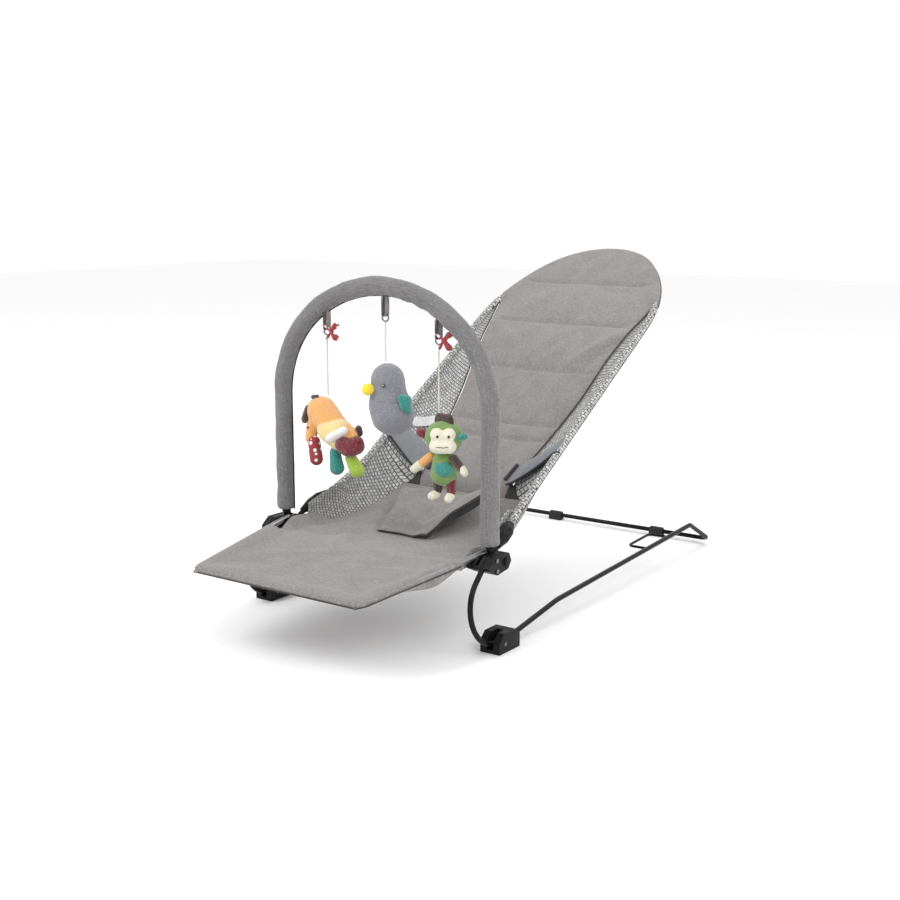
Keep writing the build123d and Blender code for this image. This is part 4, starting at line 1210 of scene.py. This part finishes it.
def strap_place(across, up, depth, side):
    """A waist strap from over the rod, in an arch down the mesh, to its slot in the pad."""
    lean = 0.017 * across
    line = ((0.0, 0.1505, 0.0030, 0.127), (0.10, 0.1440, 0.0048, 0.124), (0.22, 0.1360, -0.0010, 0.119),
            (0.45, 0.1180, -0.0120, 0.110), (0.70, 0.0990, -0.0220, 0.101), (0.88, 0.0840, -0.0290, 0.0950),
            (1.0, 0.0740, -0.0325, 0.0930))
    x = smooth_at([(r[0], r[1]) for r in line], up)
    lift = smooth_at([(r[0], r[2]) for r in line], up)
    along = smooth_at([(r[0], r[3]) for r in line], up)
    arch = 0.0050 * math.sin(math.pi * up) * (1 - across * across)
    return on_back(side * x, along + lean + 0.0068 * across * up, lift + arch + depth * 0.0016)


class BOUNCER_OT_straps(bpy.types.Operator):
    """Waist straps, their dark edges, black cords painted as the shade in their slots, and the blank label"""
    bl_idname = "bouncer.straps"
    bl_label = "Waist straps and label"

    def execute(self, context):
        for name, side in SIDES:
            obj = slab("strap_" + name, 10, 30)
            lay(obj, lambda a, u, d, side=side: strap_place(a, u, d, side), 0.034, 0.095)
            outward(obj)
            modify(obj, "SUBSURF", levels=1, render_levels=1)
            smooth_shade(obj, 60)
            finish_piece(obj, finish_of("Strap webbing"), "back", "webbing", "waist_strap_" + name)
            edge = [strap_place(-1.02, k / 24, 0.0, side) for k in range(25)]
            binding = tube("strap_binding_" + name, edge, 0.0017)
            finish_piece(binding, finish_of("Black lining"), "back", "webbing")
            # Painted shade: a black cord on the pad where the strap goes in, standing for the dark of the slot's
            # opening.
            slot = [on_back(side * (0.0665 + 0.004 * k / 8), 0.079 + 0.031 * k / 8,
                            smooth_at(SLING, 0.079 + 0.031 * k / 8) + 0.0022) for k in range(9)]
            finish_piece(tube("strap_slot_shade_" + name, slot, 0.0028), finish_of("Black lining"), "back",
                    "fabric_grey")
            rod = rod_point(0.2865)
            end = limb(Vector((side * (rod.x + 0.003), rod.y - 0.004, rod.z - 0.003)),
                       Vector((side * (rod.x + 0.002), rod.y + 0.004, rod.z + 0.001)), 3.6, 2.8)
            end = sewn("mesh_end_" + name, [end], voxel=0.0012, rounds=2)
            finish_piece(end, finish_of("Black lining"), "back", "mesh_knit")
        self.label()
        return {"FINISHED"}

    def label(self):
        """A blank folded ribbon sewn to the left mesh wall."""
        def label_place(across, up, depth):
            y = 0.028 + 0.042 * up
            top, low = mesh_row(y)
            share = 0.17 + 0.150 * across + 0.66 * up
            run = low - top
            out = Vector((0, 1, 0)).cross(run).normalized() * -1
            place = top + run * share - out * (0.0042 + depth * -0.0006) + out * 0.0042 * math.sin(math.pi * share)
            place -= out * noise.noise(Vector((across, up * 5, 3))) * 0.001
            return Vector((-place.x, place.y, place.z))
        obj = lay(slab("label_ribbon", 6, 18), label_place, 0.012, 0.045)
        outward(obj)
        modify(obj, "SUBSURF", levels=1, render_levels=1)
        smooth_shade(obj, 60)
        finish_piece(obj, finish_of("Blank label"), "back", "mesh_knit")


# ---------------------------------------------------------------- toy arch
def arch_line(grow=0.0, count=90):
    """Centre line of the toy arch, or a line beside it, from the left leg's foot to the right's."""
    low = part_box("arch_sleeve")[0]
    straight, rise, crown, half = 0.290, 0.153 + grow, 0.186 + grow, 0.170 + grow
    up = rise - crown
    side = (half**2 + up**2 - crown**2) / (2 * (half - crown))
    centre = half - side
    turn = math.atan2(-up, centre) if side < crown else math.atan2(up, -centre)
    points = []
    for k in range(count + 1):
        angle = math.pi / 2 * k / count
        if angle < turn:
            points.append((centre + side * math.cos(angle), side * math.sin(angle)))
        else:
            points.append((crown * math.cos(angle), up + crown * math.sin(angle)))
    right = [Vector((half, ARCH_Y, low.z + 0.001 + k * (straight - low.z) / 12)) for k in range(12)]
    right += [Vector((x, ARCH_Y, straight + z)) for x, z in points]
    return [Vector((-p.x, p.y, p.z)) for p in right] + list(reversed(right))[1:]


class BOUNCER_OT_arch(bpy.types.Operator):
    """Padded fabric sleeve of the toy arch, its inner seam, which also stands for the shade along that edge, the
    three tabs and the bows
    """
    bl_idname = "bouncer.arch"
    bl_label = "Toy arch"

    def execute(self, context):
        sleeve = soft_copy("arch_sleeve", "arch_padding", 0.0034)
        modify(sleeve, "SMOOTH", factor=0.5, iterations=4)
        middle = Vector((0, ARCH_Y, 0.257))
        for v in sleeve.data.vertices:
            if (Vector((abs(v.co.x) - 0.170, v.co.y - ARCH_Y)).length < 0.0085 and v.co.z < 0.29):
                continue
            bend = ease((v.co.z - 0.30) / 0.05)
            around = math.atan2(v.co.z - 0.29, v.co.x)
            inner = max(0.0, (middle - v.co).normalized().dot(v.normal))
            ripple = math.sin(around * 46 + noise.noise(v.co * 12) * 5) * inner * bend * 0.0007
            soft = noise.noise(v.co * 34) * 0.0011 + noise.noise(v.co * 90) * 0.0004
            v.co += v.normal * (ripple + soft)
        modify(sleeve, "SUBSURF", levels=1, render_levels=1)
        smooth_shade(sleeve, 80)
        finish_piece(sleeve, finish_of("Arch fabric"), "arch", "fabric_grey", "arch_sleeve")
        # Dark cord on the sleeve's inner edge: partly a seam, partly painted shade along that edge.
        seam = tube("arch_seam_and_shade", [p + Vector((0, 0.0035, 0)) for p in arch_line(-0.0122)], 0.0010)
        finish_piece(seam, finish_of("Black lining"), "arch", "fabric_grey")
        for name, x in TABS.items():
            self.tab(name, x)
        for name in ("left", "right"):
            self.bow(name, TABS[name])
        return {"FINISHED"}

    def tab(self, name, x):
        """A folded ribbon: two leaves that part round the ring and meet in the sleeve."""
        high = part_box("arch_tab_" + name)[1]
        eye = eye_z(name)

        def ribbon_place(across, up, depth):
            if up < 0.4:
                leaf, rise = -1, 1 - up / 0.4
            elif up > 0.6:
                leaf, rise = 1, (up - 0.6) / 0.4
            else:
                angle = math.pi * (up - 0.4) / 0.2
                out = 0.0020 + 0.0009 * (-depth)
                return Vector((x - out * math.cos(angle), ARCH_Y + across * 0.0048,
                        eye - 0.0030 + 0.0018 - out * math.sin(angle)))
            spread = 0.0020 - 0.0008 * rise
            gather = 1 - 0.25 * ease(rise)
            return Vector((x + leaf * (spread + 0.0009 * (-depth)), ARCH_Y + across * 0.0048 * gather,
                           eye - 0.0012 + (high.z + 0.0010 - eye) * rise))
        obj = lay(slab("tab_ribbon_" + name, 8, 40), ribbon_place, 0.010, 0.055)
        outward(obj)
        modify(obj, "SUBSURF", levels=1, render_levels=1)
        smooth_shade(obj, 60)
        finish_piece(obj, finish_of("Melange round"), "arch", "fabric_grey", "arch_tab_" + name)
        for side in (-1, 1):
            edge = [Vector((x + leaf * 0.0022, ARCH_Y + side * 0.0046, z)) for leaf, z in
                    ((-1, high.z - 0.001), (-1, eye + 0.004), (-1, eye - 0.001), (0, eye - 0.0030),
                    (1, eye - 0.001),
                     (1, eye + 0.004), (1, high.z - 0.001))]
            finish_piece(tube(f"tab_edge_{name}_{'front' if side < 0 else 'back'}", edge, 0.0005),
                         finish_of("Black lining"), "arch", "fabric_grey")

    def bow(self, name, x):
        """A small tied bow: two pinched loops, a knot and two tails."""
        y = ARCH_Y - 0.0065
        z = eye_z(name)
        knot = Vector((x + 0.012, y, z - 0.0035))
        lumps = []
        for rise, reach in ((0.0066, 0.0078), (-0.0078, 0.0072)):
            tip = knot + Vector((reach, 0, rise))
            loop = limb(knot, tip, 2.4, 5.6, flat=0.75)
            lumps.append(loop)
        lumps.append(ball(knot, (3.3, 3.3, 3.6)))
        lumps.append(limb(Vector((x + 0.001, y + 0.0005, z + 0.0030)), knot, 1.8, 1.5))
        lumps.append(limb(knot, knot + Vector((-0.0045, -0.001, -0.0092)), 2.0, 3.6, flat=0.5))
        obj = sewn("bow_cloth_" + name, lumps, voxel=0.0009, rounds=3)
        finish_piece(obj, finish_of("Dotted red cotton"), "arch", "bow_red", "bow_" + name)


# ---------------------------------------------------------------- toys
FACE = Vector((0.50, -0.86, 0.10)).normalized()


class BOUNCER_OT_bird(bpy.types.Operator):
    """Plush bird: pear-shaped body with its own head, ball beak, wings and eyes"""
    bl_idname = "bouncer.bird"
    bl_label = "Bird"

    def execute(self, context):
        def p(*at):
            return toy_point("centre", *at)
        body = sewn("bird_skin", [
            limb(p(3, 0, 24), p(5, 0, 44), 22.5, 24.0),
            limb(p(6, 0, 56), p(10, 0, 66), 28.0, 29.5),
            limb(p(9, 0, 66), p(11, -1, 74), 27.0, 21.0),
            limb(p(1, 0, 6), p(1, 0, 12), 4.0, 8.0),
        ], voxel=0.0028, rounds=9)
        finish_piece(body, finish_of("Plush grey"), "bird", "plush_grey", "bird_body")
        beak = sewn("bird_ball_beak", [ball(p(-9, 26, 34), (8.2, 8.2, 8.0)),
                limb(p(-8, 20, 34), p(-9, 25, 34), 6.0)],
                    voxel=0.0014, rounds=3)
        finish_piece(beak, finish_of("Plush yellow"), "bird", "plush_yellow", "bird_beak")
        wings = sewn("bird_side_wings", [
            limb(p(-19, 2, 48), p(-20, 3, 60), 6.0, 4.0), limb(p(35, 3, 46), p(38, 4, 61), 7.0, 5.0),
            limb(p(33, 10, 44), p(37, 10, 56), 6.0, 5.0)], voxel=0.0018)
        finish_piece(wings, finish_of("Plush teal"), "bird", "plush_teal", "bird_wings")
        eye = bead("bird_eye", p(13, 21.5, 28), 2.3)
        finish_piece(eye, finish_of("Eye black"), "bird", "plush_grey")
        glint = bead("bird_eye_glint", p(13.4, 23.4, 27.2), 0.8)
        finish_piece(glint, finish_of("Blank label"), "bird", "plush_grey")
        seam = [p(3 + 25.5 * math.cos(a), 8 + 17 * math.sin(a), 47 + 1.5 * math.sin(2 * a))
                for a in (math.radians(10 + 8 * k) for k in range(21))]
        line = []
        for place in seam:
            _, at, normal, _ = body.closest_point_on_mesh(place)
            line.append(at + normal * 0.0001)
        row = tube("bird_neck_seam", line, 0.0005)
        finish_piece(row, finish_of("Plush grey"), "bird", "plush_grey")
        return {"FINISHED"}


class BOUNCER_OT_dog(bpy.types.Operator):
    """Plush dog lying on its string, with collar, snout, ears and four odd legs"""
    bl_idname = "bouncer.dog"
    bl_label = "Dog"

    def execute(self, context):
        def p(*at):
            return toy_point("left", *at)
        body = sewn("dog_skin", [
            limb(p(-12, 0, 22), p(4, 2, 34), 20.5, 19.0),
            limb(p(4, 2, 34), p(24, 4, 46), 18.0, 16.5),
            limb(p(-20, 8, 40), p(-22, 12, 58), 9.5, 8.0),
            limb(p(38, 8, 46), p(52, 10, 48), 13.0, 9.0),
        ], voxel=0.0022, rounds=6)
        finish_piece(body, finish_of("Plush orange"), "dog", "plush_orange", "dog_body")
        collar = sewn("dog_collar", [limb(p(8, 6, 44), p(28, 8, 44), 18.0, 16.0),
                limb(p(8, 12, 48), p(26, 12, 58), 12.0, 12.0),
                                     limb(p(24, 8, 60), p(34, 10, 66), 8.0, 7.0)], voxel=0.0020)
        finish_piece(collar, finish_of("Plush pale"), "dog", "plush_orange")
        band = sewn("dog_band", [limb(p(22, 21, 52), p(44, 23, 40), 8.4, 7.4, flat=0.8)], voxel=0.0014)
        finish_piece(band, finish_of("Plush white"), "dog", "plush_orange")
        snout = sewn("dog_snout", [limb(p(40, 16, 60), p(58, 14, 60), 12.5, 12.0),
                ball(p(50, 18, 66), (15, 10, 9)),
                                   ball(p(60, 14, 55), (10, 9, 9))], voxel=0.0018)
        finish_piece(snout, finish_of("Plush maroon"), "dog", "plush_maroon", "dog_muzzle")
        ears = sewn("dog_pair_of_ears", [
            limb(p(-27, 10, 20), p(-30, 12, 31), 8.0, 8.5, flat=0.7),
                    limb(p(58, 8, 38), p(60, 8, 44), 5.2, 4.6),
            limb(p(-22, 6, 3), p(-13, 6, 1), 3.4, 2.6)], voxel=0.0016)
        finish_piece(ears, finish_of("Plush brown"), "dog", "plush_brown", "dog_ears")
        for name, start, end, thick, thin, finish in (
                ("dog_leg_dotted", (-14, 14, 62), (-9, 16, 84), 8.5, 9.5, "Dotted red cotton"),
                ("dog_leg_teal", (22, 14, 72), (26, 15, 92), 7.5, 10.5, "Plush teal"),
                ("dog_leg_lime", (46, 10, 78), (55, 9, 93), 8.0, 11.0, "Plush lime")):
            leg = sewn(name, [limb(p(*start), p(*end), thick, thin)], voxel=0.0018, rounds=4)
            leg = finish_piece(leg, finish_of(finish), "dog", "plush_lime",
                    *(("dog_legs",) if "lime" in name else ()))
        eye = bead("dog_eye", p(-18, 22, 42), 1.9)
        finish_piece(eye, finish_of("Eye black"), "dog", "plush_brown")
        return {"FINISHED"}


class BOUNCER_OT_monkey(bpy.types.Operator):
    """Plush monkey with its face, hat, ears, belly patch, arms and legs"""
    bl_idname = "bouncer.monkey"
    bl_label = "Monkey"

    def execute(self, context):
        def p(*at):
            return toy_point("right", *at)

        def add(name, lumps, finish, slot, *nodes, voxel=0.0017, rounds=4):
            return finish_piece(sewn(name, lumps, voxel, rounds), finish_of(finish), "monkey", slot, *nodes)
        add("monkey_skin_head", [limb(p(3, 0, 30), p(13, 0, 30), 20.5), ball(p(8, 0, 22), (17, 17, 14))],
                   "Plush green", "plush_green", "monkey_head")
        add("monkey_skin_hat", [limb(p(-1, 0, 8), p(17, 0, 8), 4.8, flat=1.9),
                limb(p(-4, 0, 11), p(20, 0, 11), 3.0, flat=2.6)],
            "Plush brown", "plush_brown", "monkey_hat")
        add("monkey_ear_left", [limb(p(-23, 4, 27), p(-17, 3, 29), 9.0, 7.0, flat=0.7)], "Plush maroon",
                "plush_teal")
        add("monkey_ear_right", [limb(p(38, 2, 26), p(33, 2, 28), 7.0, 5.5, flat=0.7)], "Plush teal",
                "plush_teal", "monkey_ears")
        side = Vector((0.86, 0.50, 0))
        face_at = p(8, 0, 0) + FACE * 0.0178
        lumps = []
        for sway in (-1, 1):
            lumps.append(ball(face_at + side * 0.0078 * sway + Vector((0, 0, -0.0255)), (8.6, 8.6, 9.0)))
        lumps.append(limb(face_at - side * 0.0075 + Vector((0, 0, -0.0400)),
                face_at + side * 0.0075 + Vector((0, 0, -0.0400)), 10.0))
        lumps.append(ball(face_at + side * 0.008 + Vector((0, 0, -0.0385)), (9, 9, 7)))
        add("monkey_face", lumps, "Plush cream", "plush_green")
        for k, sway in enumerate((-1, 1)):
            place = face_at + side * (0.0070 * sway + 0.001) + Vector((0, 0, -0.0275)) + FACE * 0.0078
            finish_piece(bead(f"monkey_eye_{k}", place, 2.0), finish_of("Eye black"), "monkey",
                    "plush_green")
        mouth = [face_at + side * 0.0015 * t + Vector((0, 0,
                -0.0405 - 0.0022 * math.cos(t / 5 * math.pi / 2))) + FACE * 0.0300
                 for t in range(-5, 6)]
        face = bpy.data.objects["monkey_face"]
        line = []
        for place in mouth:
            _, at, normal, _ = face.closest_point_on_mesh(face.matrix_world.inverted() @ place)
            line.append(at + normal * 0.0001)
        finish_piece(tube("monkey_mouth", line, 0.00045), finish_of("Plush brown"), "monkey", "plush_green")
        add("monkey_skin_body", [limb(p(8, 0, 60), p(8, 0, 74), 15.0, 18.5)], "Plush green", "plush_green",
                   "monkey_body")
        add("monkey_belly", [ball(p(8, 0, 70) + FACE * 0.0125, (14.0, 9.0, 10.5))], "Plush teal",
                "plush_green")
        add("monkey_arm_left", [limb(p(-10, 4, 56), p(-24, 6, 67), 6.4, 6.0)], "Plush orange",
                "plush_orange", "monkey_arms")
        add("monkey_hand_left", [limb(p(-25, 6, 68), p(-35, 6, 75), 6.6, 5.6)], "Plush cream",
                "plush_orange")
        add("monkey_arm_right", [limb(p(26, 4, 55), p(39, 6, 66), 6.2, 5.8)], "Plush brown", "plush_orange")
        add("monkey_hand_right", [limb(p(40, 6, 66), p(44, 6, 71), 5.6, 4.8)], "Plush cream", "plush_orange")
        add("monkey_leg_left", [limb(p(-1, 0, 86), p(-2, 0, 99), 6.6, 6.2)], "Plush brown", "plush_maroon")
        add("monkey_leg_right", [limb(p(19, 0, 86), p(19, 0, 99), 6.6, 6.4)], "Plush maroon", "plush_maroon",
                "monkey_legs")
        add("monkey_foot_left", [limb(p(-3, 2, 104), p(-5, 9, 106), 6.2, 5.8)], "Plush cream",
                "plush_maroon")
        add("monkey_foot_right", [limb(p(19, 2, 104), p(21, 9, 106), 6.2, 5.8)], "Plush cream",
                "plush_maroon")
        return {"FINISHED"}


# ---------------------------------------------------------------- hardware
NODE_FINISHES = {
    "wire_black": "Black wire paint", "moulded_black": "Moulded black", "rubber_black": "Black rubber",
    "pin_steel": "Zinc steel", "frame_steel": "Frame steel", "arch_plastic": "Arch plastic",
}


class BOUNCER_OT_hardware(bpy.types.Operator):
    """Finishes of the wires, feet, hinges, pins, rods and rings"""
    bl_idname = "bouncer.hardware"
    bl_label = "Wires, feet and hinges"

    def execute(self, context):
        slots = {part["node"]: part["material_slot"] for part in frame["record"]["subparts"]}
        for name, obj in frame["nodes"].items():
            finish = NODE_FINISHES.get(slots[name])
            if finish:
                obj.data.materials.clear()
                obj.data.materials.append(finish_of(finish))
            elif not obj.hide_render:
                raise RuntimeError(f"soft CAD node {name} still shows")
        return {"FINISHED"}


# ---------------------------------------------------------------- panel and registration
STEPS = ("stage", "strings", "leg_cloth", "back_cover", "mesh_sides", "crotch_flap", "straps", "arch",
        "bird", "dog",
         "monkey", "hardware")


class BOUNCER_PT_pieces(bpy.types.Panel):
    """Sizes, colours and pieces of the bouncer seat"""
    bl_idname = "BOUNCER_PT_pieces"
    bl_label = "Baby bouncer seat"
    bl_space_type = "VIEW_3D"
    bl_region_type = "UI"
    bl_category = "Bouncer"

    def draw(self, context):
        for step in STEPS:
            self.layout.operator("bouncer." + step)
        for group in (context.scene.bouncer_sizes, context.scene.bouncer_colours):
            box = self.layout.box()
            for name in group.__annotations__:
                box.prop(group, name)


CLASSES = (BouncerSizes, BouncerColours, BOUNCER_OT_stage, BOUNCER_OT_strings, BOUNCER_OT_leg_cloth,
           BOUNCER_OT_back_cover, BOUNCER_OT_mesh_sides, BOUNCER_OT_crotch_flap, BOUNCER_OT_straps,
                   BOUNCER_OT_arch,
           BOUNCER_OT_bird, BOUNCER_OT_dog, BOUNCER_OT_monkey, BOUNCER_OT_hardware, BOUNCER_PT_pieces)


def register():
    for c in CLASSES:
        bpy.utils.register_class(c)
    bpy.types.Scene.bouncer_sizes = PointerProperty(type=BouncerSizes)
    bpy.types.Scene.bouncer_colours = PointerProperty(type=BouncerColours)


def unregister():
    del bpy.types.Scene.bouncer_colours
    del bpy.types.Scene.bouncer_sizes
    for c in reversed(CLASSES):
        bpy.utils.unregister_class(c)


def main():
    register()
    for step in STEPS:
        getattr(bpy.ops.bouncer, step)()


if __name__ == "__main__":
    main()
